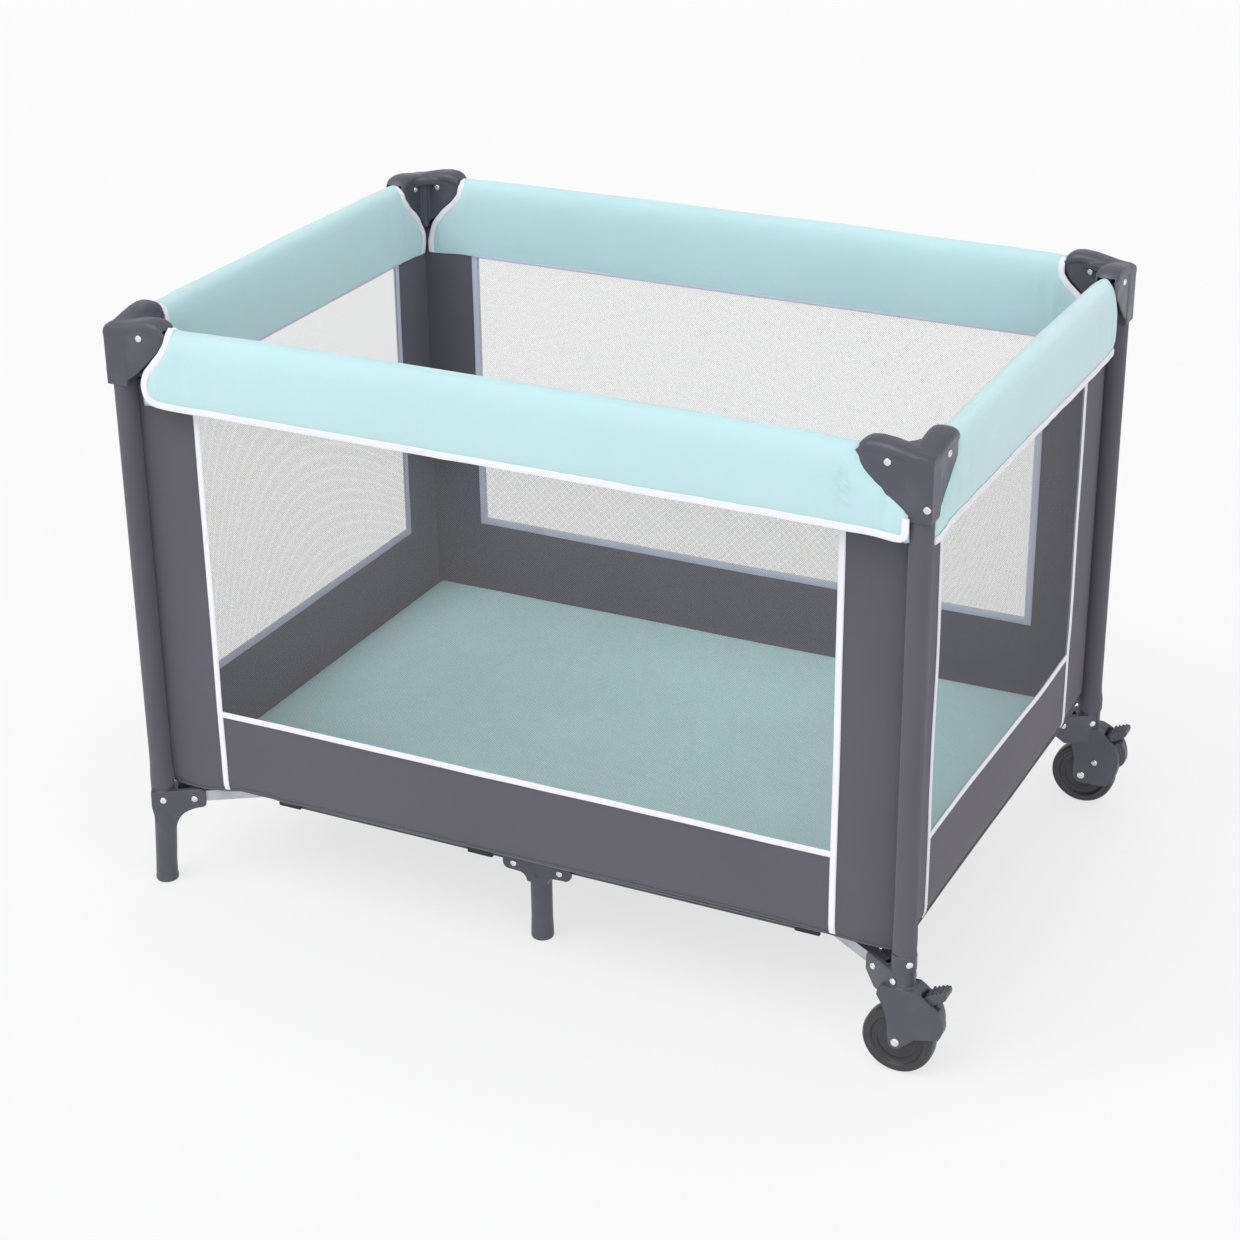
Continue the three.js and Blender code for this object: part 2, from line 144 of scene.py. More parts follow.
class Material:
    """A node material around one Principled shader, in object coordinates."""

    def __init__(self, name, colour, roughness, **sockets):
        self.data = bpy.data.materials.new(name)
        self.data.use_nodes = True
        self.data.diffuse_color = colour
        self.tree = self.data.node_tree
        self.shader = self.tree.nodes["Principled BSDF"]
        self.shader.inputs["Base Color"].default_value = colour
        self.shader.inputs["Roughness"].default_value = roughness
        for socket, value in sockets.items():
            self.shader.inputs[socket.replace("_", " ")].default_value = value
        self.place = self.add("ShaderNodeTexCoord").outputs["Object"]

    def add(self, kind, links=(), **settings):
        node = self.tree.nodes.new(kind)
        for key, value in settings.items():
            setattr(node, key, value)
        for socket, value in dict(links).items():
            if isinstance(value, bpy.types.NodeSocket):
                self.tree.links.new(value, node.inputs[socket])
            else:
                node.inputs[socket].default_value = value
        return node

    def math(self, operation, a, b=0.0, c=0.0):
        return self.add("ShaderNodeMath", {0: a, 1: b, 2: c}, operation=operation).outputs[0]

    def noise(self, scale, detail=3.0, place=None):
        links = {"Vector": place or self.place, "Scale": scale, "Detail": detail}
        return self.add("ShaderNodeTexNoise", links).outputs["Fac"]

    def mix(self, factor, a, b):
        node = self.add("ShaderNodeMix", data_type="RGBA")
        for socket, value in (("Factor", factor), ("A", a), ("B", b)):
            target = [s for s in node.inputs if s.name == socket and s.enabled][0]
            if isinstance(value, bpy.types.NodeSocket):
                self.tree.links.new(value, target)
            else:
                target.default_value = value
        return [s for s in node.outputs if s.enabled][0]

    def ramp(self, value, low, high):
        """0 below low, 1 above high."""
        links = {"Value": value, "From Min": low, "From Max": high}
        return self.add("ShaderNodeMapRange", links, interpolation_type="SMOOTHSTEP").outputs[0]

    def colour(self, socket):
        self.tree.links.new(socket, self.shader.inputs["Base Color"])

    def drive(self, name, socket):
        self.tree.links.new(socket, self.shader.inputs[name])

    def bump(self, height, distance, strength=1.0):
        links = {"Height": height, "Distance": distance, "Strength": strength}
        node = self.add("ShaderNodeBump", links)
        self.tree.links.new(node.outputs["Normal"], self.shader.inputs["Normal"])

    def axes(self, flat=False):
        """x and y of a flat piece, or distance along a wall, whichever way it faces, and height."""
        x, y, z = self.add("ShaderNodeSeparateXYZ", {"Vector": self.place}).outputs
        return (x, y) if flat else (self.math("ADD", x, y), z)

    def threads(self, axis, pitch):
        """A sine over one thread spacing."""
        return self.math("SINE", self.math("MULTIPLY", axis, 2 * math.pi / pitch))


def shade(colour, factor):
    return (colour[0] * factor, colour[1] * factor, colour[2] * factor, 1)


def woven(name, colour, pitch, contrast=0.12, depth=0.00012, sheen=0.15, flat=False):
    """Plain weave: warp and weft as crossed sines, with slight dye and slub variation, and painted shade
    where the weave and slubs lie low.
    """
    m = Material(name, colour, 0.85, Sheen_Weight=sheen, Sheen_Roughness=0.5, Specular_IOR_Level=0.25)
    across, up = m.axes(flat)
    weave = m.math("MULTIPLY", m.threads(across, pitch), m.threads(up, pitch))
    slub = m.noise(220.0, 4.0)
    height = m.math("ADD", weave, m.math("MULTIPLY", slub, 0.8))
    cloudy = m.ramp(m.noise(5.0), 0.3, 0.7)
    base = m.mix(cloudy, shade(colour, 1 - contrast / 2), shade(colour, 1 + contrast / 2))
    # Painted shade: the cloth is darker where the weave and slub height is low.
    m.colour(m.mix(m.ramp(height, -0.6, 1.4), shade(colour, 1 - contrast), base))
    m.drive("Roughness", m.math("MULTIPLY_ADD", slub, 0.12, 0.78))
    m.bump(height, depth)
    return Look(name, m.data)


def dotted(name, colour, dot_colour, pitch):
    """Woven mattress cover with a staggered fine dot."""
    m = Material(name, colour, 0.85, Sheen_Weight=0.2, Sheen_Roughness=0.5, Specular_IOR_Level=0.25)
    x, y = m.axes(flat=True)
    lattice = m.math("MULTIPLY", m.threads(x, pitch), m.threads(y, pitch))
    dots = m.ramp(lattice, 0.45, 0.8)
    cloudy = m.ramp(m.noise(4.0), 0.3, 0.7)
    base = m.mix(cloudy, shade(colour, 0.95), shade(colour, 1.04))
    m.colour(m.mix(dots, base, dot_colour))
    weave = m.math("MULTIPLY", m.threads(x, 0.0012), m.threads(y, 0.0012))
    m.bump(m.math("ADD", m.math("MULTIPLY", weave, 0.4), dots), 0.0003)
    return Look(name, m.data)


def netting(name, colour, pitch, open_share):
    """Knitted net: thin threads around staggered diamond holes, clear inside each hole."""
    m = Material(name, colour, 0.8, Sheen_Weight=0.1, Specular_IOR_Level=0.2)
    across, up = m.axes()
    rising, falling = m.math("ADD", across, up), m.math("SUBTRACT", across, up)
    cell = m.math("MULTIPLY", m.threads(rising, pitch), m.threads(falling, pitch))
    edge = (1 - open_share) * 0.6
    hole = m.ramp(m.math("ABSOLUTE", cell), edge - 0.04, edge + 0.04)
    m.drive("Alpha", m.math("SUBTRACT", 1.0, hole))
    m.bump(m.math("SUBTRACT", 1.0, hole), 0.0003)
    return Look(name, m.data)


def tape(name, colour):
    """Ribbed binding tape, with painted shade in the grooves between its ribs."""
    m = Material(name, colour, 0.75, Sheen_Weight=0.15, Specular_IOR_Level=0.3)
    across, up = m.axes()
    diagonal = m.math("ADD", across, up)
    rib = m.threads(diagonal, 0.0016)
    fuzz = m.noise(500.0, 2.0)
    # Painted shade: the tape is darker in the grooves between its ribs.
    m.colour(m.mix(m.ramp(rib, -1.0, 0.6), shade(colour, 0.88), colour))
    m.drive("Roughness", m.math("MULTIPLY_ADD", fuzz, 0.15, 0.68))
    m.bump(m.math("ADD", rib, fuzz), 0.00015)
    return Look(name, m.data)


def moulded(name, colour, roughness=0.42, grain=900.0, depth=0.00006):
    """Moulded plastic: fine grain and rubbed patches."""
    m = Material(name, colour, roughness, Specular_IOR_Level=0.45)
    fine = m.noise(grain, 2.0)
    rubbed = m.ramp(m.noise(28.0, 5.0), 0.45, 0.7)
    m.colour(m.mix(rubbed, shade(colour, 0.93), shade(colour, 1.1)))
    m.drive("Roughness", m.math("MULTIPLY_ADD", rubbed, -0.1, roughness + 0.06))
    m.bump(fine, depth)
    return Look(name, m.data)


def metal(name, colour, roughness=0.3, grain=(40.0, 40.0, 900.0)):
    """Coated or bright metal with drawn lines and small handling marks."""
    m = Material(name, colour, roughness, Metallic=0.9)
    scaled = m.add("ShaderNodeMapping", {"Vector": m.place, "Scale": grain}).outputs[0]
    lines = m.noise(1.0, 4.0, scaled)
    m.colour(m.mix(m.ramp(m.noise(60.0), 0.4, 0.75), colour, shade(colour, 0.8)))
    m.drive("Roughness", m.math("MULTIPLY_ADD", lines, 0.25, roughness - 0.08))
    m.bump(lines, 0.00003)
    return Look(name, m.data)


COVER = woven("cover_fabric", linear(188, 224, 228), 0.0011, contrast=0.06, sheen=0.6)
WALL = woven("wall_fabric", linear(91, 89, 98), 0.0013, contrast=0.14)
MATTRESS = dotted("mattress_fabric", linear(172, 212, 215), linear(210, 230, 232), 0.0055)
NET = netting("mesh_net", linear(146, 145, 144), 0.0051, 0.79)
WHITE_TAPE = tape("piping_white", linear(246, 246, 252))
GREY_TAPE = tape("binding_grey", linear(200, 203, 224))
GREY_PLASTIC = moulded("grey_plastic", linear(74, 77, 86), 0.36)
BLACK_PLASTIC = moulded("black_plastic", linear(28, 28, 31), 0.45)
WHEEL_PLASTIC = moulded("wheel_black", linear(52, 52, 56), 0.34, 600.0, 0.00004)
STEEL = metal("steel_tube", linear(186, 190, 197), 0.34)
# The floor struts are coloured dark grey as painted shadow: they stand for the dark line under the panels'
# hem, not their bare steel.
STRUT_SHADOW_STEEL = moulded("strut_steel_painted_shadow", linear(74, 75, 82), 0.4)._replace(slot="steel_tube")
RIVET = metal("rivet_steel", linear(226, 228, 232), 0.2, (300.0, 300.0, 300.0))


# ---- Mesh helpers ----


def new_object(name, data):
    obj = bpy.data.objects.new(name, data)
    bpy.context.scene.collection.objects.link(obj)
    return obj


def make_mesh(name, points, faces, matrix=Matrix.Identity(4), smooth=True):
    mesh = bpy.data.meshes.new(name)
    mesh.from_pydata([matrix @ Vector(p) for p in points], [], faces)
    mesh.validate()
    mesh.polygons.foreach_set("use_smooth", [smooth] * len(mesh.polygons))
    return new_object(name, mesh)


def finish_piece(obj, look, body, smooth_angle=None):
    """Material and body of a finished piece."""
    obj.data.materials.clear()
    obj.data.materials.append(look.material)
    if smooth_angle is not None:
        obj.data.set_sharp_from_angle(angle=math.radians(smooth_angle))
    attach(obj, body)
    return obj


def applied(obj):
    """The object with its modifiers applied."""
    depsgraph = bpy.context.evaluated_depsgraph_get()
    mesh = bpy.data.meshes.new_from_object(obj.evaluated_get(depsgraph))
    obj.modifiers.clear()
    obj.data = mesh
    return obj


def modified(obj, kind, **settings):
    modifier = obj.modifiers.new(kind.lower(), kind)
    for key, value in settings.items():
        setattr(modifier, key, value)
    return applied(obj)


def combined(obj, tools, operation):
    """Boolean of obj with each tool, which is then removed."""
    for tool in tools:
        modified(obj, "BOOLEAN", object=tool, operation=operation, solver="EXACT")
        bpy.data.objects.remove(tool)
    return obj


def ring_faces(rings, count, ends=True, closed_ring=True):
    """Faces through a number of rings of count points, with one face over each end if ends is set."""
    faces = []
    for a in range(0, (rings - 1) * count, count):
        for i in range(count if closed_ring else count - 1):
            j = (i + 1) % count
            faces.append((a + i, a + j, a + count + j, a + count + i))
    if ends:
        faces += [tuple(reversed(range(count))), tuple(range((rings - 1) * count, rings * count))]
    return faces


def lofted(name, rings, matrix=Matrix.Identity(4), ends=True, smooth=True, closed_ring=True):
    """A surface through rings of equal length, facing outwards."""
    faces = ring_faces(len(rings), len(rings[0]), ends, closed_ring)
    obj = make_mesh(name, [p for ring in rings for p in ring], faces, matrix, smooth)
    outward(obj)
    return obj


def grid_faces(columns, rows):
    """Quads over a grid of points that are listed column by column."""
    return [(a, a + rows, a + rows + 1, a + 1)
            for i in range(columns - 1) for a in range(i * rows, (i + 1) * rows - 1)]


def prism(name, outline, low, high, axis="Y"):
    """A closed prism of an outline in mm. Axis Y takes an (x, z) outline, axis Z a plan outline."""
    def ring(level):
        if axis == "Z":
            return [(x * MM, y * MM, level * MM) for x, y in outline]
        return [(x * MM, level * MM, z * MM) for x, z in outline]
    return lofted(name, [ring(low), ring(high)], smooth=False)


def edited(obj, change):
    """Runs change on the mesh in edit form."""
    bm = bmesh.new()
    bm.from_mesh(obj.data)
    change(bm)
    bm.to_mesh(obj.data)
    bm.free()


def outward(obj):
    """Joins doubled points and turns every face outwards."""
    edited(obj, lambda bm: bmesh.ops.remove_doubles(bm, verts=bm.verts, dist=1e-6))
    edited(obj, lambda bm: bmesh.ops.recalc_face_normals(bm, faces=bm.faces))


def without_loose(obj):
    """Removes points that no face uses."""
    edited(obj, lambda bm: bmesh.ops.delete(
        bm, geom=[v for v in bm.verts if not v.link_faces], context="VERTS"))


def turned_profile(name, profile, sides=64, axis="Z", at=(0, 0, 0)):
    """A closed lathe: (radius, height) in mm from axis to axis, or a closed ring if it has a bore."""
    rings = []
    for i in range(sides):
        angle = 2 * math.pi * i / sides
        c, s = math.cos(angle) * MM, math.sin(angle) * MM
        rings.append([(r * c, r * s, h * MM) if axis == "Z" else (r * c, h * MM, r * s) for r, h in profile])
    return lofted(name, rings + [rings[0]], Matrix.Translation(Vector(at) * MM), ends=False,
                  closed_ring=profile[0][0] > 0)


def bar(name, radius, low, high, axis="Z", at=(0, 0, 0), sides=48):
    """A round bar in mm."""
    return turned_profile(name, [(0, low), (radius, low), (radius, high), (0, high)], sides, axis, at)


def block(name, x, y, z, turn=0.0):
    """A box cutter in mm."""
    obj = prism(name, [(x[0], z[0]), (x[1], z[0]), (x[1], z[1]), (x[0], z[1])], *y)
    obj.data.transform(Matrix.Rotation(turn, 4, "Z"))
    return obj


def curve(start, control, end, steps=8):
    """Points of a quadratic curve, without its start."""
    out = []
    for i in range(1, steps + 1):
        t = i / steps
        out.append(tuple(
            (1 - t) ** 2 * s + 2 * t * (1 - t) * c + t * t * e for s, c, e in zip(start, control, end)))
    return out


def arc(centre, radius, start, end, steps=12):
    """Points of an arc in degrees, both ends included."""
    out = []
    for i in range(steps + 1):
        angle = math.radians(start + (end - start) * i / steps)
        out.append((centre[0] + radius * math.cos(angle), centre[1] + radius * math.sin(angle)))
    return out


def traced(start, *parts):
    """Outline from start through corners (x, y) and curves (control, end, steps)."""
    points = [start]
    for part in parts:
        points += curve(points[-1], *part) if len(part) == 3 else [part]
    return points


def interpolate(table, x):
    """Straight-line value between (x, y) pairs."""
    if x <= table[0][0]:
        return table[0][1]
    for (x0, y0), (x1, y1) in zip(table, table[1:]):
        if x <= x1:
            t = (x - x0) / (x1 - x0)
            return y0 + (y1 - y0) * t
    return table[-1][1]


def smoothstep(low, high, x):
    t = min(max((x - low) / (high - low), 0), 1)
    return t * t * (3 - 2 * t)


def ripple(x, y, z, seed):
    """Seeded noise between about -1 and 1."""
    return noise.noise(Vector((x, y, z + seed * 7.31)))


def spaced(start, end, step):
    count = max(1, round(abs(end - start) / step))
    return [start + (end - start) * i / count for i in range(count + 1)]


def sweep(path, surface, section):
    """Rings of a section (across, out) carried along a path on a surface with that normal."""
    rings = []
    for i, point in enumerate(path):
        before, after = path[max(i - 1, 0)], path[min(i + 1, len(path) - 1)]
        tangent = (after - before).normalized()
        normal = (surface - surface.dot(tangent) * tangent).normalized()
        across = tangent.cross(normal)
        rings.append([point + across * a + normal * o for a, o in section])
    return rings


def tape_section(width, thickness):
    """Rounded flat section that stands on the surface."""
    half, sides = width / 2, 12
    section = []
    for i in range(sides):
        angle = 2 * math.pi * i / sides
        a = math.copysign(abs(math.cos(angle)) ** 0.6, math.cos(angle)) * half
        o = (math.copysign(abs(math.sin(angle)) ** 0.8, math.sin(angle)) * 0.5 + 0.3) * thickness
        section.append((a, o))
    return section


def tape_piece(name, side, path, normal, size, look, body):
    """Tape of a (width, thickness) size laid along a path in a wall's coordinates."""
    obj = lofted(name, sweep(path, normal, tape_section(*size)), side.matrix)
    return finish_piece(obj, look, body, 60)


# Width and thickness of the tapes.
PIPING = (8.5 * MM, 2.6 * MM)
INNER_EDGE = (4 * MM, 1.6 * MM)
BINDING = (8 * MM, 1.5 * MM)
INNER_BINDING = (9 * MM, 1.2 * MM)
HEM_ROLL = (3.2 * MM, 3 * MM)

STITCH_PITCH = 4.2 * MM
STITCH_LENGTH = 2.9 * MM
THREAD_RADIUS = 0.42 * MM
# Rings of a stitch: place along its length, and share of the thread's radius.
STITCH_RINGS = [(-0.5, 0.15), (-0.32, 1.0), (0.32, 1.0), (0.5, 0.15)]
STITCH_SIDES = 6


def stitch_points(at, along, normal):
    across = along.cross(normal)
    points = []
    for share, scale in STITCH_RINGS:
        for k in range(STITCH_SIDES):
            angle = 2 * math.pi * k / STITCH_SIDES
            offset = across * math.cos(angle) + normal * math.sin(angle)
            points.append(at + along * share * STITCH_LENGTH + offset * THREAD_RADIUS * scale)
    return points


def stitch_piece(name, side, path, normal, body):
    """A row of white thread stitches along a path, as one piece of small rounded bars."""
    points, faces = [], []
    one_stitch = ring_faces(len(STITCH_RINGS), STITCH_SIDES)
    travelled, due = 0.0, STITCH_PITCH / 2
    for a, b in zip(path, path[1:]):
        step = b - a
        while due <= travelled + step.length:
            faces += [tuple(i + len(points) for i in face) for face in one_stitch]
            at = a + step * ((due - travelled) / step.length)
            points += stitch_points(at, step.normalized(), normal)
            due += STITCH_PITCH
        travelled += step.length
    obj = make_mesh(name, points, faces, side.matrix)
    outward(obj)
    return finish_piece(obj, WHITE_TAPE, body)


# ---- Rail covers ----

# Section of a cover: v (negative outside) and height, around the half rail and latch.
COVER_SECTION = [
    (-14.5, 652), (-17.5, 664), (-18.6, 688), (-18.2, 712), (-16.2, 729), (-10.5, 740.5), (0, 744.5),
    (10.5, 740.5), (16.2, 729), (18.2, 710), (18.0, 684), (16.5, 660), (14.0, 642), (12.2, 637.5),
    (9.0, 639.5), (0, 647), (-9.0, 650.5),
]
WING_EDGE = [(675, 15.5), (684, 27), (695, 39), (705, 50), (717, 62.5), (728, 70), (737, 72), (748, 72)]
END_FULL = [(636, 10), (668, 9.5)] + [(z, u - 6) for z, u in WING_EDGE]
END_POINTED = [(636, -1), (656, 0), (668, 5)] + [(z, u - 6) for z, u in WING_EDGE]
END_SHORT = [(636, 45), (650, 44), (656, 39), (668, 36), (680, 37.5), (690, 42), (702, 52),
             (714, 62), (728, 70), (737, 72), (748, 72)]
END_LOOSE = [(636, 65), (660, 63), (700, 64), (715, 65), (728, 67), (748, 70)]
END_INSIDE = [(636, 19), (655, 19), (665, 22), (677, 27.6), (695, 42), (712, 60), (724, 68), (748, 71)]
END_NOMINAL = 72 * MM  # where the last ring would be if the end were straight
TOP_DROP = 3.4  # of the cover's top at the brackets, mm
HEM_SAG = 7  # of the cover's hem at the posts, mm
END_REACH = 130 * MM  # how far along the cover its rings lean to meet its end
END_SPLIT = 42 * MM  # the stretch nearer the post than this stays with the post when the rail folds
OUTER_ENDS = {("front", "start"): END_SHORT, ("right", "start"): END_POINTED, ("right", "end"): END_LOOSE}
PINCH_REACH = 26 * MM  # how far from its end the cover starts to draw in
PIPING_INSET = 2.5 * MM  # the piping lies this far in from the cover's end
PIPING_SPLIT = 690 * MM  # above this height the end piping goes with the rail, below it with the post


def closed_spline(points, per_span=4):
    """Points of a closed Catmull-Rom spline."""
    out = []
    n = len(points)
    for i in range(n):
        p0, p1, p2, p3 = (Vector(points[(i + k - 1) % n]) for k in range(4))
        for k in range(per_span):
            t = k / per_span
            out.append(0.5 * (2 * p1 + (p2 - p0) * t + (2 * p0 - 5 * p1 + 4 * p2 - p3) * t * t
                              + (3 * p1 - p0 - 3 * p2 + p3) * t ** 3))
    return out


SECTION = [p * MM for p in closed_spline(COVER_SECTION)]


def end_name(u):
    return "start" if u < 0 else "end"


def cover_end(side, which, v, z):
    """How far from the post axis a cover ends, at (v, z)."""
    outside = OUTER_ENDS.get((side.tag, which), END_FULL)
    share = smoothstep(1 * MM, 10 * MM, v)
    return ((1 - share) * interpolate(outside, z / MM) + share * interpolate(END_INSIDE, z / MM)) * MM


def end_drop(side, u, z):
    """The cover's top slopes down to the brackets, and its hem sags where the cover meets a post."""
    left = side.half - abs(u)
    top = TOP_DROP * math.exp(-max(left - 70 * MM, 0) / (140 * MM)) * smoothstep(690 * MM, 742 * MM, z)
    loose = OUTER_ENDS.get((side.tag, end_name(u)), END_FULL) in (END_SHORT, END_LOOSE)
    low = 1 - smoothstep(654 * MM, 676 * MM, z)
    hem = 0 if loose else HEM_SAG * math.exp(-max(left - 8 * MM, 0) / (22 * MM)) * low
    return (top + hem) * MM


def cover_swell(side, u, v, z):
    """Soft displacement of the cover: slow waves, and puckers above the sewn hem."""
    seed = SIDES.index(side) + 1
    slow = ripple(u * 7, v * 20, z * 9, seed) * 1.4
    hem = math.exp(-max(z - 650 * MM, 0) / (12 * MM))
    pucker = ripple(u * 55, 0, z * 12, seed + 9) * 1.1 * hem
    near_end = math.exp(-max(side.half - abs(u) - 80 * MM, 0) / (45 * MM))
    pleat_share = smoothstep(644 * MM, 674 * MM, z) * (1 - smoothstep(700 * MM, 738 * MM, z))
    pleats = ripple(u * 95, 0, z * 6, seed + 6) * 4.0 * pleat_share
    crease = (ripple(u * 30, 0, z * 6, seed + 5) * 2.0 + pleats) * near_end
    return (slow + pucker + crease) * MM


def cover_point(side, u, p, index):
    """Point of the cover's skin at u, for point p of the section."""
    normal = section_normal(index)
    swell = cover_swell(side, u, p.x, p.y)
    v = (p.x + normal.x * swell) * end_pinch(side, u, p)
    return Vector((u, v, p.y + normal.y * swell - end_drop(side, u, p.y)))


def end_pinch(side, u, p):
    """Share of the cover's thickness that is left near its end, which tucks in under the bracket."""
    which = end_name(u)
    left = (side.half - abs(u)) - cover_end(side, which, p.x, p.y)
    t = 1 - min(max(left / PINCH_REACH, 0), 1)
    low = 0.8 if p.x > 0 else 0.5 if (side.tag, which) == ("right", "end") else 0.7
    return 1 - (1 - low) * (1 - math.sqrt(max(0, 1 - t * t)))


def section_normal(index):
    n = len(SECTION)
    tangent = SECTION[(index + 1) % n] - SECTION[index - 1]
    return Vector((tangent.y, -tangent.x)).normalized()


def station(side, nominal, p):
    """Place along the cover of one section point, so that the ends follow the bracket wings."""
    limit = side.half - END_NOMINAL
    reach = END_REACH
    u = nominal
    for sign in (-1, 1):
        pull = 1 - smoothstep(0, reach, limit - sign * nominal)
        u += sign * (END_NOMINAL - cover_end(side, end_name(sign), p.x, p.y)) * pull
    return u


def split_line(side, sign, p):
    """Where the post's stretch of the cover ends and the rail's begins."""
    return sign * (side.half - max(END_SPLIT, cover_end(side, end_name(sign), p.x, p.y)))


def cover_rings(side, kind, sign):
    """Rings of section points for one stretch of a cover: post, half or middle."""
    def ring(place):
        return [cover_point(side, place(p), p, i) for i, p in enumerate(SECTION)]
    if kind == "middle":
        return [ring(lambda p: u) for u in spaced(-LATCH_PIVOT, LATCH_PIVOT, 8 * MM)]
    if kind == "half":
        limit = side.half - END_NOMINAL
        near = [limit - k for k in spaced(0, END_REACH, 6 * MM)]
        return [
            ring(lambda p: sign * min(sign * station(side, sign * u, p), sign * split_line(side, sign, p)))
            for u in near + spaced(near[-1], LATCH_PIVOT, 10 * MM)[1:]]

    def post_place(p, share):
        end = sign * (side.half - cover_end(side, end_name(sign), p.x, p.y))
        return end + (split_line(side, sign, p) - end) * share
    return [ring(lambda p: post_place(p, share)) for share in spaced(0, 1, 1 / 6)]


def end_cap(rings, sign):
    """Tucks the cover's end in towards the rail."""
    middle_z = 705 * MM
    tucked = [
        [Vector((p.x - sign * depth * MM, p.y * shrink, middle_z + (p.z - middle_z) * (0.5 + shrink / 2)))
         for p in rings[0]]
        for shrink, depth in ((0.55, 2), (0.86, 0.4))]
    return tucked + rings


def face_v(z, outside):
    """v of the cover's outer or inner face at a height."""
    face = [p for p in SECTION if (p.x < 0) == outside and p.y > 650 * MM or (not outside and p.x > 8 * MM)]
    return min(face, key=lambda p: abs(p.y - z)).x


def hem_path(side, low, high):
    """Bottom edge of the outer face, between two places along the wall."""
    v = face_v(656 * MM, True)
    return [cover_trim_point(side, u, v, (652.5 + ripple(u * 26, 0, 0, 3) * 0.5) * MM)
            for u in spaced(low, high, 8 * MM)]


def cover_trim_point(side, u, v, z):
    """Point of the cover's skin at u, near a place (v, z) of its section."""
    index = min(range(len(SECTION)), key=lambda i: (SECTION[i] - Vector((v, z))).length)
    swell = cover_swell(side, u, SECTION[index].x, SECTION[index].y)
    normal = section_normal(index)
    pinch = end_pinch(side, u, Vector((v, z)))
    return Vector((u, (v + normal.x * swell) * pinch, z + normal.y * swell * 0.3 - end_drop(side, u, z)))


def end_path(side, sign, outside, z_low, z_high):
    """Edge of the cover's end on its outer or inner face."""
    path = []
    for z in spaced(z_low, z_high, 5 * MM):
        v = face_v(z, outside)
        inset = cover_end(side, end_name(sign), v, z) + PIPING_INSET
        path.append(cover_trim_point(side, sign * (side.half - inset), v, z))
    return path


def rounded_corner(path):
    """Softens a path with a moving mean of three points that keeps its ends."""
    inner = [(a + b + c) / 3 for a, b, c in zip(path, path[1:], path[2:])]
    return [path[0]] + inner + [path[-1]]


def cover_trim(side):
    """White piping along the outer hem and around both ends, cut where the cover is cut."""
    out = Vector((0, -1, 0))
    edge = side.half - END_SPLIT
    for sign, post, rail in ((-1, side.start, side.rails[0]), (1, side.end, side.rails[1])):
        which, body = end_name(sign), f"post_{post}"
        end = (side.tag, which)
        hem_start = side.half - cover_end(side, which, -17 * MM, 653 * MM) - 6 * MM
        hem_from, corner_top = edge, 673 * MM
        if end == ("front", "start"):
            hem_from, corner_top = hem_start - 24 * MM, PIPING_SPLIT
        if end == ("right", "start"):
            low_path = hem_path(side, sign * (hem_start + 5 * MM), sign * edge)
        elif end == ("right", "end"):
            hem_from, low_path = hem_start + 5 * MM, None
        else:
            corner = hem_path(side, sign * hem_start, sign * hem_from)
            low_path = rounded_corner(end_path(side, sign, True, corner_top, 656 * MM) + corner)
        hem = hem_path(side, sign * hem_from, sign * LATCH_PIVOT)
        inner_top = (735 if end == ("right", "end") else 743) * MM
        runs = [
            ("hem", hem, out, rail),
            ("inner_high", end_path(side, sign, False, inner_top, PIPING_SPLIT), -out, rail),
            ("inner_low", end_path(side, sign, False, PIPING_SPLIT, 640 * MM), -out, body),
        ]
        if low_path:
            hem[0] = low_path[-1]
            runs.append(("low", low_path, out, body))
        if end == ("front", "start"):
            runs.append(("high", end_path(side, sign, True, 746 * MM, PIPING_SPLIT), out, rail))
        for label, path, normal, owner in runs:
            name = f"piping_{side.tag}_{which}_{label}"
            piece = tape_piece(name, side, path, normal, PIPING, WHITE_TAPE, owner)
            if owner == rail:
                flatten_cover(piece)
            if label == "hem":
                row = [p + Vector((0, -2.2 * MM, 2.2 * MM)) for p in path]
                flatten_cover(stitch_piece(f"stitches_{side.tag}_{which}", side, row, normal, owner))
    path = hem_path(side, -LATCH_PIVOT, LATCH_PIVOT)
    tape_piece(f"piping_{side.tag}_middle", side, path, out, PIPING, WHITE_TAPE, f"latch_{side.tag}")


def flatten_cover(piece):
    """A cover hangs below its rail and flattens towards it as the rail folds down; here the piece only gets a
    mesh of its own.
    """
    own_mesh(piece)


def inner_binding(side):
    """Thin grey edge under the inner face."""
    for label, low, high, body in (
        ("start", WINDOW_INSET - side.half, -LATCH_PIVOT, side.rails[0]),
        ("middle", -LATCH_PIVOT, LATCH_PIVOT, f"latch_{side.tag}"),
        ("end", LATCH_PIVOT, side.half - WINDOW_INSET, side.rails[1]),
    ):
        path = [Vector((u, 13.2 * MM, 639 * MM)) for u in spaced(low, high, 10 * MM)]
        piece = tape_piece(f"inner_edge_{side.tag}_{label}", side, path, Vector((0, 1, 0)),
                           INNER_EDGE, GREY_TAPE, body)
        if label != "middle":
            flatten_cover(piece)


def rail_cover(side):
    """The padded cover in five stretches: one on each post, half rail and latch."""
    for label, kind, sign, body in (
        ("post_start", "post", -1, f"post_{side.start}"), ("half_start", "half", -1, side.rails[0]),
        ("middle", "middle", 0, f"latch_{side.tag}"), ("half_end", "half", 1, side.rails[1]),
        ("post_end", "post", 1, f"post_{side.end}"),
    ):
        rings = cover_rings(side, kind, sign)
        if kind == "post":
            rings = end_cap(rings, sign)
        obj = lofted(f"cover_{side.tag}_{label}", rings, side.matrix, ends=False)
        finish_piece(obj, COVER, body)
        if kind == "half":
            flatten_cover(obj)
        if kind == "middle":
            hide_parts(f"rail_cover_{side.tag}")


# ---- Side panels, nets and binding ----

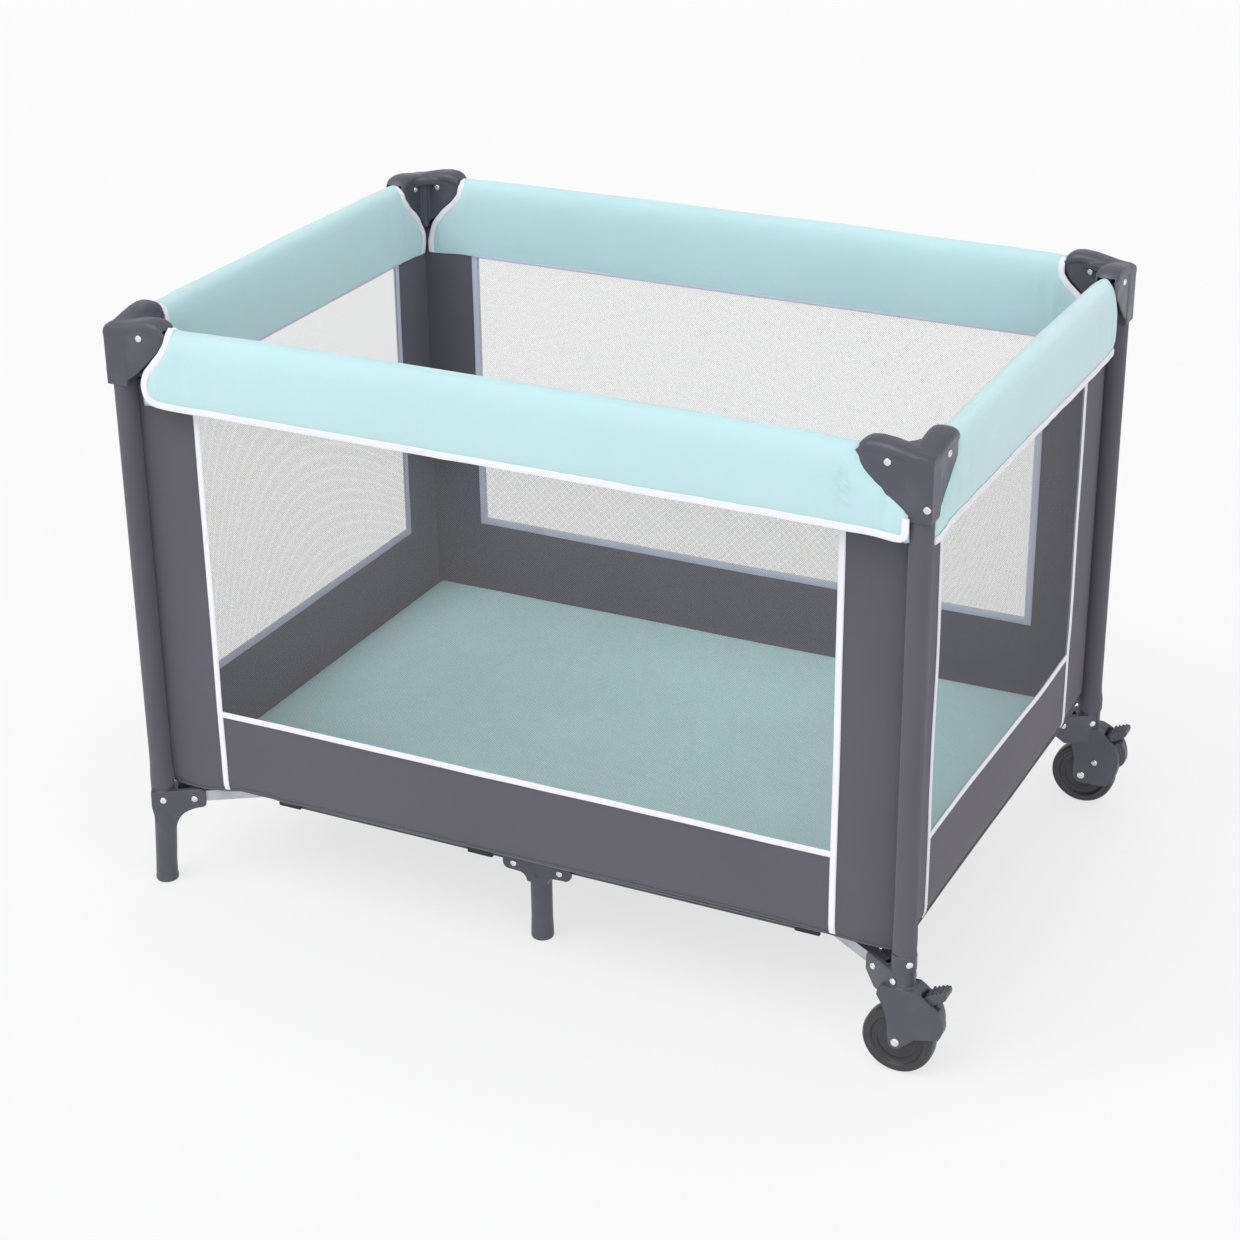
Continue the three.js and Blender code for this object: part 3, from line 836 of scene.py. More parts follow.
PANEL_V = 10 * MM
PANEL_END = 9.5 * MM  # post axis to the panel's edge, against the sleeve
WINDOW_INSET = 90 * MM
WINDOW_Z = 248 * MM
PANEL_TOP = 668 * MM  # tucked up inside the cover
BINDING_TOP = 662 * MM
BINDING_STITCH = 2.9 * MM  # the tape's middle to each row of stitches
INNER_BINDING_OUT = 2 * MM  # the grey tape lies this far out from the window's edge
HEM_Z = 141 * MM
# Place along the front wall and height of its hem, mm.
FRONT_HEM = [(-482, 134), (-435, 135), (-400, 140), (-378, 145), (-345, 145.5), (-322, 142), (-290, 143.5),
             (0, 144), (240, 146), (365, 145.5), (425, 142.5), (482, 142)]


def hem_z(side, u):
    """Height of the panel's bottom edge, which rises a little over the foot brackets."""
    left = side.half - abs(u)
    lift = (1 - smoothstep(12 * MM, 34 * MM, left)) * 2 * MM
    if side.tag == "front":
        return interpolate(FRONT_HEM, u / MM) * MM + lift
    if side.tag == "right" and u > 0:
        lift += (1 - smoothstep(30 * MM, 86 * MM, left)) * 7 * MM
    wave = ripple(u * 3.2, 0, 0, SIDES.index(side) + 20) * 2.6 * MM
    return HEM_Z + 2 * MM + wave * smoothstep(20 * MM, 80 * MM, left) + lift


def panel_v(side, u, z):
    """Inward place of the wall's cloth, with its slow waves and the folds beside the posts."""
    seed = SIDES.index(side)
    left = side.half - abs(u)
    free = smoothstep(10 * MM, 60 * MM, left)
    slow = ripple(u * 4.5, 0, z * 6, seed + 30) * 1.8
    fold = ripple(u * 38, 0, z * 2.5, seed + 40) * 1.0 * (1 - smoothstep(30 * MM, 95 * MM, left))
    slack = math.exp(-((z - 250 * MM) / (60 * MM)) ** 2) * ripple(u * 11, 0, z * 14, seed + 50) * 1.1
    tuck = (1 - smoothstep(0, 16 * MM, z - hem_z(side, u))) ** 2 * 3.5
    return PANEL_V + ((slow + fold + slack) * free + tuck) * MM


def panel_grid(side, columns, rows):
    """Points and quads of cloth over columns of u and rows of z, as functions of u."""
    points = [Vector((u, panel_v(side, u, row(u)), row(u))) for u in columns for row in rows]
    return points, grid_faces(len(columns), len(rows))


def fixed_row(z):
    return lambda u: z


def hem_row(side, share):
    return lambda u: hem_z(side, u) + (WINDOW_Z - hem_z(side, u)) * share


def side_panel(side):
    """Band and both strips of one wall as one sewn sheet, with a window left open."""
    end, window = side.half - PANEL_END, side.half - WINDOW_INSET
    strip = spaced(-end, -window, 6 * MM)
    columns = strip + spaced(-window, window, 12 * MM)[1:] + [-u for u in reversed(strip)][1:]
    shares = [0, 0.03, 0.07, 0.12, 0.2, 0.3, 0.4, 0.5, 0.6, 0.7, 0.8, 0.9]
    band = [hem_row(side, s) for s in shares]
    upper = [fixed_row(z) for z in spaced(WINDOW_Z, PANEL_TOP, 12 * MM)]
    points, faces = panel_grid(side, columns, band + upper)

    def opens(face):
        centre = sum((points[i] for i in face), Vector()) / 4
        return abs(centre.x) < window and centre.z > WINDOW_Z
    obj = make_mesh(f"panel_{side.tag}", points, [f for f in faces if not opens(f)], side.matrix)
    without_loose(obj)
    modified(obj, "SOLIDIFY", thickness=1.0 * MM, offset=0.0)
    finish_piece(obj, WALL, side.panel_body, 50)
    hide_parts(f"side_panel_{side.tag}")
    flatten_wall(obj)


def flatten_wall(obj):
    """The wall draws together between its post and the far post's sleeve as the frame folds; here the piece
    only gets a mesh of its own.
    """
    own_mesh(obj)


def mesh_window(side):
    window = side.half - WINDOW_INSET + 3 * MM
    columns = spaced(-window, window, 14 * MM)
    rows = [fixed_row(z) for z in spaced(WINDOW_Z - 3 * MM, PANEL_TOP, 14 * MM)]
    points, faces = panel_grid(side, columns, rows)
    obj = make_mesh(f"net_{side.tag}", points, faces, side.matrix)
    finish_piece(obj, NET, side.panel_body)
    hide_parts(f"mesh_window_{side.tag}")
    flatten_wall(obj)


def wall_path(side, points, offset):
    """Path that lies on the wall's cloth, a little out of it."""
    return [Vector((u, panel_v(side, u, z) + offset, z)) for u, z in points]


def window_binding(side):
    """White tape outside and grey tape inside, around the window and down to the hem."""
    window = side.half - WINDOW_INSET
    out = Vector((0, -1, 0))
    for label, along in (("left", -1), ("right", 1), ("bottom", 0)):
        if along:
            u = along * window
            run = [(u, z) for z in spaced(BINDING_TOP, hem_z(side, u) + 1 * MM, 8 * MM)]
            inside = [p for p in run if p[1] > WINDOW_Z - 6 * MM]
        else:
            run = [(u, WINDOW_Z) for u in spaced(-window, window, 8 * MM)]
            inside = [(-window - 6 * MM, WINDOW_Z)] + run + [(window + 6 * MM, WINDOW_Z)]
        path = wall_path(side, run, -0.6 * MM)
        flatten_wall(tape_piece(f"binding_{side.tag}_{label}", side, path, out, BINDING,
                                WHITE_TAPE, side.panel_body))
        for edge, shift in (("a", -BINDING_STITCH), ("b", BINDING_STITCH)):
            move = Vector((shift if along else 0, -1.1 * MM, 0 if along else shift))
            flatten_wall(stitch_piece(f"binding_stitches_{side.tag}_{label}_{edge}", side,
                                      [p + move for p in path], out, side.panel_body))
        away = (along * INNER_BINDING_OUT, 0 if along else -INNER_BINDING_OUT)
        path = wall_path(side, [(u + away[0], z + away[1]) for u, z in inside], 0.6 * MM)
        flatten_wall(tape_piece(f"inner_binding_{side.tag}_{label}", side, path, -out, INNER_BINDING,
                                GREY_TAPE, side.panel_body))


def panel_hem(side):
    """Folded hem along the panel's bottom edge."""
    end = side.half - 14 * MM
    path = wall_path(side, [(u, hem_z(side, u) + 1.2 * MM) for u in spaced(-end, end, 8 * MM)], 0)
    flatten_wall(tape_piece(f"hem_{side.tag}", side, path, Vector((0, -1, 0)), HEM_ROLL, WALL,
                            side.panel_body))


# ---- Post sleeves ----

SLEEVE_RADIUS = 12.55  # mm
SLEEVE_TOP = 676 * MM
SOCKET_TOP = 150 * MM  # top of a plain foot's socket
SLEEVE_LOW = {"front_left": 131, "front_right": 150, "rear_right": 132, "rear_left": 131}


def post_sleeve(tag):
    """Cloth tube around a post. On the plain feet it also covers the bracket's socket."""
    seed = CORNERS.index(tag)
    low, high = SLEEVE_LOW[tag] * MM, SLEEVE_TOP
    over_socket = low < SOCKET_TOP
    sides = 48
    rings = []
    for z in spaced(low, high, 9 * MM):
        ring = []
        foot = 1 - smoothstep(0, 55 * MM, z - low)
        flare = (1 - smoothstep(SOCKET_TOP, SOCKET_TOP + 14 * MM, z)) if over_socket else 0
        radius_here = SLEEVE_RADIUS + flare * (1.9 if tag == "rear_right" else 1.1)
        for k in range(sides):
            angle = 2 * math.pi * k / sides
            x, y = math.cos(angle), math.sin(angle)
            inner = max(0.0, (x + y) / 2 ** 0.5) ** 8
            crumple = ripple(x * 2.2, y * 2.2, z * (14 + 40 * foot), seed + 60)
            loose = crumple * (0.3 + (0.3 if flare else 1.3) * foot)
            radius = radius_here + inner * 0.6 + abs(loose) * 0.6 + 0.3 * foot
            bottom = low + (ripple(x, y, 0, seed + 70) * 4 + 2) * MM
            ring.append(Vector((x * radius * MM, y * radius * MM, max(z, bottom))))
        rings.append(ring)
    obj = lofted(f"sleeve_{tag}", rings, corner_matrix(tag), ends=False)
    modified(obj, "SOLIDIFY", thickness=0.6 * MM, offset=1.0)
    finish_piece(obj, WALL, f"post_{tag}", 50)


# ---- Floor and mattress ----

FLOOR_Z = 126.7 * MM
FLOOR_RIM = 17.5 * MM  # the floor's cloth rises this much to meet the walls
FLOOR_RIM_RUN = 42 * MM
NOTCH = (466 * MM, 326 * MM)  # the floor's corners are cut out beyond this


def floor_quarter(tag):
    """A quarter of the tub's floor, which bunches along the arm below it as the frame folds; here the piece
    is only attached to the arm's body.
    """
    sign_x, sign_y = signs(tag)
    edge_x, edge_y = HALF_X - 11.5 * MM, HALF_Y - 11.5 * MM
    xs = spaced(0, NOTCH[0], 16 * MM) + spaced(NOTCH[0], edge_x, 4 * MM)[1:]
    ys = spaced(0, NOTCH[1], 16 * MM) + spaced(NOTCH[1], edge_y, 4 * MM)[1:]
    points = []
    for x in xs:
        for y in ys:
            inset = min(edge_x - x, edge_y - y)
            rise = FLOOR_RIM * max(0, 1 - inset / FLOOR_RIM_RUN) ** 1.4
            sag = ripple(x * 6 * sign_x, y * 6 * sign_y, 0, 80) * 0.8 * MM if rise == 0 else 0
            points.append((CENTRE.x + sign_x * x, CENTRE.y + sign_y * y, FLOOR_Z + rise - abs(sag)))

    def in_notch(a):
        i, j = divmod(a, len(ys))
        return xs[i] >= NOTCH[0] - 1e-6 and ys[j] >= NOTCH[1] - 1e-6
    faces = [face for face in grid_faces(len(xs), len(ys)) if not in_notch(face[0])]
    obj = make_mesh(f"floor_{tag}", points, faces)
    without_loose(obj)
    outward(obj)
    modified(obj, "SOLIDIFY", thickness=0.8 * MM, offset=0.0)
    finish_piece(obj, WALL, f"arm_{tag}", 50)
    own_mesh(obj)
    return obj


def pad_lines(low, high):
    """Places across a pad, closer together at its rounded edges."""
    steps = [0, 0.8, 2, 4, 7, 11]
    inner = spaced(low + 11 * MM, high - 11 * MM, 12 * MM)[1:-1]
    return [low + s * MM for s in steps] + inner + [high - s * MM for s in reversed(steps)]


CORNER = 9 * MM
FOLD_CLOSE = 0.3 * MM  # neighbouring panels meet along the sewn fold
PAD_CROWN = 1.3 * MM  # the flat of the pad lies this far below its CAD top, leaving room for the waves


def mattress_panel(node, fold_left, fold_right):
    """Padded panel with rounded outer edges; fold_left and fold_right mark sewn fold lines."""
    low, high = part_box(node)
    low.x -= FOLD_CLOSE if fold_left else 0
    high.x += FOLD_CLOSE if fold_right else 0
    xs, ys = pad_lines(low.x, high.x), pad_lines(low.y, high.y)
    half, mid = (high.z - low.z) / 2, (high.z + low.z) / 2

    def edges(x, y):
        """Distance to each edge, and whether it is a sewn fold."""
        return (x - low.x, fold_left), (high.x - x, fold_right), (y - low.y, False), (high.y - y, False)

    def fullness(x, y):
        share = 1.0
        for distance, sewn in edges(x, y):
            t = min(distance / ((4 if sewn else 11) * MM), 1)
            least = 0.985 if sewn else 0.0
            share *= least + (1 - least) * math.sqrt(max(0, 1 - (1 - t) ** 2))
        return share

    def wave(x, y):
        return (ripple(x * 5, y * 5, 0, 90) * 1.3 + ripple(x * 14, y * 14, 0, 91) * 0.5) * MM

    def rounded(x, y):
        """Draws the pad's four outer corners in to a radius."""
        dx = max(0 if fold_left else low.x + CORNER - x, 0 if fold_right else x - high.x + CORNER, 0)
        dy = max(low.y + CORNER - y, y - high.y + CORNER, 0)
        if dx == 0 or dy == 0:
            return x, y
        pull = 1 - max(dx, dy) / math.hypot(dx, dy)
        return x + math.copysign(dx * pull, CENTRE.x - x), y + math.copysign(dy * pull, CENTRE.y - y)

    def underside(x, y):
        """The pad's underside rises at its rim, with the floor's cloth below it."""
        rim = min(distance for distance, sewn in edges(x, y) if not sewn)
        lifted = low.z + 0.4 * MM + (FLOOR_RIM - 4 * MM) * max(0, 1 - rim / (34 * MM)) ** 1.4
        return min(lifted, mid + (half - PAD_CROWN) * fullness(x, y) - 0.5 * MM)
    grid = [(x, y) for x in xs for y in ys]
    top = [(*rounded(x, y), mid + (half - PAD_CROWN + wave(x, y)) * fullness(x, y)) for x, y in grid]
    bottom = [(*rounded(x, y), underside(x, y)) for x, y in grid]
    offset, rows = len(grid), len(ys)
    faces = grid_faces(len(xs), rows)
    faces += [tuple(i + offset for i in reversed(face)) for face in faces]
    for start in (0, offset - rows):
        faces += [(a, a + 1, a + 1 + offset, a + offset) for a in range(start, start + rows - 1)]
    obj = make_mesh(f"{node}_pad", top + bottom, faces)
    outward(obj)
    finish_piece(obj, MATTRESS, node)
    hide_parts(node)
    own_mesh(obj)


# ---- Rivets ----


def placed(obj, matrix):
    """Moves a mesh, and keeps it facing outwards if the matrix mirrors it."""
    obj.data.transform(matrix)
    if matrix.determinant() < 0:
        obj.data.flip_normals()


def rivet(name, matrix, body, radius=4.3):
    """Domed hollow rivet head on a surface whose normal is the matrix's z."""
    obj = turned_profile(name, [
        (0, -0.6), (radius, -0.6), (radius, 0.4), (radius * 0.86, 1.35), (radius * 0.6, 1.9),
        (radius * 0.42, 1.95), (radius * 0.34, 1.2), (0, 1.0)], 32)
    placed(obj, matrix)
    finish_piece(obj, RIVET, body, 50)


def facing(location, normal):
    """Matrix with z along normal, at a location in mm."""
    rotation = Vector(normal).to_track_quat("Z", "Y").to_matrix().to_4x4()
    return Matrix.Translation(Vector(location) * MM) @ rotation


# ---- Moulded corner parts ----

WING_BOTTOM = [(-14.6, 667), (4, 668.5), (28, 684.5), (62, 716.5), (69, 727), (71, 734)]
WING_TOP = [(-14.6, 739), (-8, 741), (6, 743), (20, 746.5), (34, 749.5), (48, 751), (58, 750), (65, 746.5),
            (69, 742), (71, 739)]
CHEEK = 13.7  # half width of the wings below the cap, mm
CAP = 15.0


def wing_loft(name):
    """One wing of the top bracket, along +x: two cheeks under a rounded cap with a lip."""
    rings = []
    for u in spaced(-14.6, 71, 2.5):
        bottom, top = interpolate(WING_BOTTOM, u), interpolate(WING_TOP, u)
        narrow = max(0, u - 62) * 0.4
        cheek, cap = CHEEK - narrow, CAP - narrow
        crown = min(8, (top - bottom) * 0.45)
        lip = max(bottom + 0.5, top - crown - 3)
        ring = [(u, -cheek, bottom), (u, cheek, bottom), (u, cheek, lip - 0.4), (u, cap, lip)]
        for k in range(9):
            angle = math.pi * k / 8
            across = math.copysign(abs(math.cos(angle)) ** 0.7, math.cos(angle))
            ring.append((u, cap * across, top - crown + crown * math.sin(angle)))
        ring += [(u, -cap, lip), (u, -cheek, lip - 0.4)]
        rings.append([tuple(c * MM for c in p) for p in ring])
    return lofted(name, rings)


def moulding(obj, voxel, passes, keep):
    """Melts joined solids into one moulded skin with softly rounded edges."""
    modified(obj, "REMESH", mode="VOXEL", voxel_size=voxel * MM)
    modified(obj, "SMOOTH", factor=0.5, iterations=passes)
    modified(obj, "DECIMATE", ratio=keep)
    obj.data.polygons.foreach_set("use_smooth", [True] * len(obj.data.polygons))
    return obj


def softened(obj, width, angle=32, segments=3):
    """Rounds the hard edges of a plain solid."""
    modified(obj, "BEVEL", width=width * MM, segments=segments, limit_method="ANGLE",
             angle_limit=math.radians(angle))
    obj.data.polygons.foreach_set("use_smooth", [True] * len(obj.data.polygons))
    obj.data.set_sharp_from_angle(angle=math.radians(38))
    return obj


def top_bracket_mesh():
    body = wing_loft("bracket_wing")
    cross = wing_loft("bracket_cross_wing")
    placed(cross, Matrix.Rotation(math.pi / 2, 4, "Z") @ Matrix.Scale(-1, 4, (0, 1, 0)))
    hollow = arc((46, 46), 31.6, 270, 180)
    web = prism("bracket_web", [(8, 8), (46, 8)] + hollow + [(8, 46)], 733, 741, "Z")
    rib = bar("bracket_rib", 6.5, 673, 741, at=(15, 15, 0))
    combined(body, [cross, web, rib], "UNION")
    channels = [
        block("channel", (23, 90), (-11, 11), (600, 741)),
        block("cross_channel", (-11, 11), (23, 90), (600, 741)),
    ]
    combined(body, channels, "DIFFERENCE")
    return moulding(body, 1.0, 7, 0.3)


LEG = 13.6  # radius of the plastic legs, mm
BORE = 12.6  # radius of the hole for the post, mm
PLATE_TOP = 131  # mm


def foot_plate():
    """Side outline of the plate that holds an arm, from the post axis along the arm."""
    lower = traced((0, 70), (LEG - 0.4, 70), ((15, 101), (42, 104.8), 8), (47, 104.8),
                   ((53, 105.5), (53, 111), 5))
    return lower + plate_corner() + [(-14.5, PLATE_TOP), (-15, 112), (1 - LEG, 92), (1 - LEG, 70)]


def plate_corner():
    return curve((53, 122), (53, PLATE_TOP), (45, PLATE_TOP), 5)


def caster_plate():
    """The casters' plate is deeper, with a cut corner."""
    return [(0, 92), (36, 92), (53, 107)] + plate_corner() + [(0, PLATE_TOP)]


def arm_plate(prefix, outline, turn=0.0):
    """The plate around an arm's end, and the slot that the arm lies in."""
    solid = prism(f"{prefix}_plate", outline, -17, 17)
    taper = [(-20, -15.2), (6, -15.2), (56, -13.0), (56, 13.0), (6, 15.2), (-20, 15.2)]
    combined(solid, [prism(f"{prefix}_taper", taper, 50, 160, "Z")], "INTERSECT")
    solid.data.transform(Matrix.Rotation(turn, 4, "Z"))
    slot = block(f"{prefix}_slot", (19, 80), (-7.9, 7.9), (107.8, 200), turn)
    return solid, slot


def foot_bracket_mesh():
    profile = [(0, 0), (12.6, 0), (14.0, 1.0), (14.4, 2.6), (14.3, 6.6), (13.7, 7.4), (13.3, 30),
               (LEG, 58), (LEG, 148.5), (13, 150), (0, 150)]
    body = turned_profile("foot_leg", profile)
    solid, slot = arm_plate("foot", foot_plate())
    taper = prism("foot_taper", [(-16, 140), (-16, 108), (-3, 70), (3, 70), (16, 108), (16, 140)], -60, 60)
    taper.data.transform(Matrix.Rotation(math.pi / 2, 4, "Z"))
    combined(solid, [taper], "INTERSECT")
    combined(body, [solid], "UNION")
    combined(body, [slot, bar("foot_bore", BORE, 100, 160)], "DIFFERENCE")
    moulding(body, 0.8, 4, 0.3)
    for vertex in body.data.vertices:  # the leg leans a little outwards
        vertex.co.x -= 4.5 * MM * (1 - smoothstep(0, 100 * MM, vertex.co.z))
    return body


FORK_LEFT = traced((-14, 112), (-20, 112), (-25, 107), (-26.5, 99), ((-17, 86), (-13, 66), 5))
AXLE = (-2, 42)  # place of the wheel's axle from the post axis, and its height, mm


def hood(reach):
    """Upper outline of a cheek, from its far end back to the post."""
    top = (reach - 11, 97)
    return curve((reach, 71), (reach - 1, 88), top, 8) + curve(top, (reach - 22, 107), (16, 112), 6)


def outer_cheek():
    """Side outline of the fork on the outside: a narrow leg to the axle below the hood."""
    axle = arc(AXLE, 9, 178, 318, 14)
    return FORK_LEFT + axle + [(20, 51)] + curve((40, 55), (51.5, 58), (52, 71), 6) + hood(52)


def inner_cheek():
    """On the inside the plate reaches lower, over the wheel's brake."""
    axle = arc(AXLE, 11, 178, 262, 8)
    low = traced((8, 31.2), (27, 31.2), ((39, 33), (43, 48), 6), (46, 61), (46.5, 71))
    return FORK_LEFT + axle + low + hood(46.5)


def caster_bracket_mesh():
    """The front caster's bracket and fork. The rear one is its mirror image."""
    body = prism("caster_outer", outer_cheek(), -15.2, 0.5)
    inner = prism("caster_inner", inner_cheek(), -0.5, 15.2)
    nose_plan = traced((-30, -18), (28, -18), ((56.5, -17), (56.5, -2), 8))
    nose_plan += curve((56.5, 2), (56.5, 17), (28, 18)) + [(-30, 18)]
    nose = prism("caster_nose", nose_plan, 0, 130, "Z")
    collar = turned_profile("caster_collar", [(0, 129), (13, 129), (14.2, 132), (14.4, 136), (14.4, 150.5),
                                              (13.6, 152), (0, 152)])
    socket = bar("caster_socket", 13.8, 94, 140, sides=64)
    run = arm_direction("front_right")
    solid, slot = arm_plate("caster", caster_plate(), math.atan2(run.y, run.x))
    combined(body, [inner], "UNION")
    combined(body, [nose], "INTERSECT")
    combined(body, [socket, collar, solid], "UNION")
    well = bar("caster_well", 44.6, -12.1, 12.1, "Y", (AXLE[0], 0, AXLE[1]), 96)
    notch = block("caster_notch", (24, 80), (-10.8, 10.8), (92, 140))
    combined(body, [well, notch, slot, bar("caster_bore", BORE, 100, 160)], "DIFFERENCE")
    combined(body, [bar("caster_axle", 4, -14, 14, "Y", (AXLE[0], 0, AXLE[1]), 32)], "UNION")
    return moulding(body, 0.8, 4, 0.3)


def middle_foot_mesh():
    profile = [(0, 0), (12.2, 0), (13.7, 1.2), (14.1, 3), (13.8, 12), (13.2, 30), (13.3, 90), (0, 100)]
    body = turned_profile("middle_leg", profile)
    outline = traced(
        (-46, 99), ((-45, 92), (-38, 91.5), 5), (-22, 91), ((-14.5, 89), (-13, 80), 4),
        (13, 80), ((14.5, 89), (22, 91), 4), (38, 91.5), ((45, 92), (46, 99), 5),
        (46, 106), ((45, 113.5), (36, 113.5), 5), (-36, 113.5), ((-45, 113.5), (-46, 106), 5))
    slots = [block("middle_slot", x, (-6.8, 6.8), (80, 110.6)) for x in ((20.5, 60), (-60, -20.5))]
    combined(body, [prism("middle_cross", outline, -12.4, 12.4)], "UNION")
    combined(body, slots, "DIFFERENCE")
    return moulding(body, 0.8, 4, 0.3)


def wheel_mesh():
    """Tyre with a rounded tread and moulded rings, turned about y."""
    half = [(4.2, 11.5), (9.5, 11.5), (10.3, 10.8), (10.6, 8.2), (12, 7.6), (19, 7.4), (20.5, 8.8), (22, 8.8),
            (23.5, 7.2), (29.4, 7.0), (30.5, 8.0), (31.2, 10.9), (32.4, 11.5), (35.4, 11.5), (36.4, 10.3),
            (37.6, 11.1), (39.4, 10.5), (41, 8.6), (41.8, 6), (42, 2.5)]
    profile = half + [(r, -h) for r, h in reversed(half)]
    return turned_profile("wheel_body", profile, 112, "Y")


def pedal_mesh():
    outline = traced(
        (28.5, 99), ((29.5, 94.8), (34, 95), 4), (38, 98), ((48, 103), (55, 109.5), 5),
        ((57.5, 114.5), (54.5, 119), 4), ((43, 115), (34, 109.5), 5), (28.8, 104))
    body = prism("pedal_body", outline, -10, 10)
    ribs = [block("pedal_rib", (x - 1.0, x + 1.0), (-9.2, 9.2), (106, 114 + (x - 37) * 0.38))
            for x in (37, 41.5, 46, 50.5)]
    pin = bar("pedal_pin", 2.4, -12, 12, "Y", (33, 0, 99), 24)
    combined(body, ribs, "UNION")
    body.data.transform(Matrix.Translation((-2.5 * MM, 0, -1.5 * MM)))
    combined(body, [pin], "UNION")
    return moulding(body, 0.6, 3, 0.4)


def connector(tag):
    """Rounded shell over the strut connector beside an arm."""
    sign_x, sign_y = signs(tag)
    outline = [(349.8, 263.6), (366, 274), (366, 279), (334, 279), (334, 274.8), (349.8, 274.8)]
    plan = [(sign_x * x + CENTRE.x / MM, sign_y * y) for x, y in outline]
    obj = softened(prism(f"connector_{tag}", plan, 100.5, 122, "Z"), 2.0)
    finish_piece(obj, BLACK_PLASTIC, f"connector_{tag}")
    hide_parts(f"strut_connector_{tag}")


def moulded_piece(name, source, matrix, body, node, look=GREY_PLASTIC):
    """A placed copy of a finished mesh, standing for a CAD node."""
    obj = new_object(name, source.data.copy())
    placed(obj, matrix)
    finish_piece(obj, look, body)
    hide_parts(node)


# Rivets of the top bracket in corner coordinates, mm: label, place, normal.
RAIL_RIVETS = [
    ("a", (35, -CHEEK, RAIL_Z), (0, -1, 0)), ("b", (35, CHEEK, RAIL_Z), (0, 1, 0)),
    ("c", (-CHEEK, 35, RAIL_Z), (-1, 0, 0)), ("d", (CHEEK, 35, RAIL_Z), (1, 0, 0)),
    ("e", (-14.6, -9.5, 684), (-1, 0, 0)),
]
# Rivets of the caster: label, place, normal, radius.
CASTER_RIVETS = [
    ("axle_out", (-2, -15.1, 42), (0, -1, 0), 5.2), ("axle_in", (-2, 15.1, 42), (0, 1, 0), 5.2),
    ("brake_in", (15, 15.1, 64), (0, 1, 0), 4.2), ("collar", (9.9, -10.3, 143), (0.69, -0.72, 0), 4.2),
]
HIDDEN_RIVETS = [("rear_right", "e"), ("rear_right", "collar")]  # on a hidden face, under the sleeve


def caster_parts(tag, post, caster, wheel, pedal):
    """Bracket, wheel and pedal of one caster. The rear one is a mirror image of the front one."""
    at = Matrix.Translation(POST[tag])
    if tag == "rear_right":
        at = at @ Matrix.Scale(-1, 4, (0, 1, 0))
    moulded_piece(f"caster_{tag}", caster, at, post, f"caster_bracket_{tag}")
    wheel_at = at @ Matrix.Translation(Vector((AXLE[0], 0, AXLE[1])) * MM)
    moulded_piece(f"wheel_{tag}", wheel, wheel_at, f"wheel_{tag}", f"caster_wheel_{tag}", WHEEL_PLASTIC)
    moulded_piece(f"pedal_{tag}", pedal, at, f"pedal_{tag}", f"brake_pedal_{tag}")
    for label, spot, normal, radius in CASTER_RIVETS:
        if (tag, label) not in HIDDEN_RIVETS:
            rivet(f"{label}_rivet_{tag}", at @ facing(spot, normal), post, radius)


def corner_parts():
    sources = bracket, foot, caster, wheel, pedal = [
        top_bracket_mesh(), foot_bracket_mesh(), caster_bracket_mesh(), wheel_mesh(), pedal_mesh()]
    for tag in CORNERS:
        at, foot_at, post = corner_matrix(tag), arm_matrix(tag), f"post_{tag}"
        moulded_piece(f"bracket_{tag}", bracket, at, post, f"top_bracket_{tag}")
        for label, spot, normal in RAIL_RIVETS:
            if (tag, label) not in HIDDEN_RIVETS:
                rivet(f"rail_rivet_{tag}_{label}", at @ facing(spot, normal), post)
        if POST[tag].x < CENTRE.x:
            moulded_piece(f"foot_{tag}", foot, foot_at, post, f"foot_bracket_{tag}")
        else:
            caster_parts(tag, post, caster, wheel, pedal)
        for side, sign in (("out", -1), ("in", 1)):
            for label, x, y, z in (("post", 0, 15.1, 119), ("arm", 38.5, 13.7, 118)):
                rivet(f"{label}_rivet_{tag}_{side}", foot_at @ facing((x, sign * y, z), (0, sign, 0)), post)
        connector(tag)
    for source in sources:
        bpy.data.objects.remove(source)


def middle_feet():
    source = middle_foot_mesh()
    for tag in ("front", "rear"):
        at = Matrix.Translation(middle(f"middle_foot_{tag}").xy.to_3d())
        moulded_piece(f"mid_foot_{tag}", source, at, f"middle_foot_{tag}", f"middle_foot_{tag}")
        for x in (-31, 31):
            for face in (-1, 1):
                rivet(f"strut_rivet_{tag}_{x + 31}_{face + 1}",
                      at @ facing((x, face * 12.3, 101), (0, face, 0)), f"middle_foot_{tag}")
    bpy.data.objects.remove(source)


def floor_struts():
    """Flat bars with rounded ends, coloured dark grey as painted shadow under the panels' hem in place of
    bare steel.
    """
    for end in ("front", "rear"):
        for hand in ("left", "right"):
            node = f"floor_strut_{end}_{hand}"
            low, high = (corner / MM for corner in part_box(node))
            radius = STRUT_HEIGHT / 2
            outline = arc((high.x - radius, high.z - radius), radius, -90, 90, 8)
            outline += arc((low.x + radius, high.z - radius), radius, 90, 270, 8)
            obj = softened(prism(f"strut_{end}_{hand}_bar", outline, low.y, high.y), 0.9)
            finish_piece(obj, STRUT_SHADOW_STEEL, f"strut_{end}_{hand}")
            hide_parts(node)


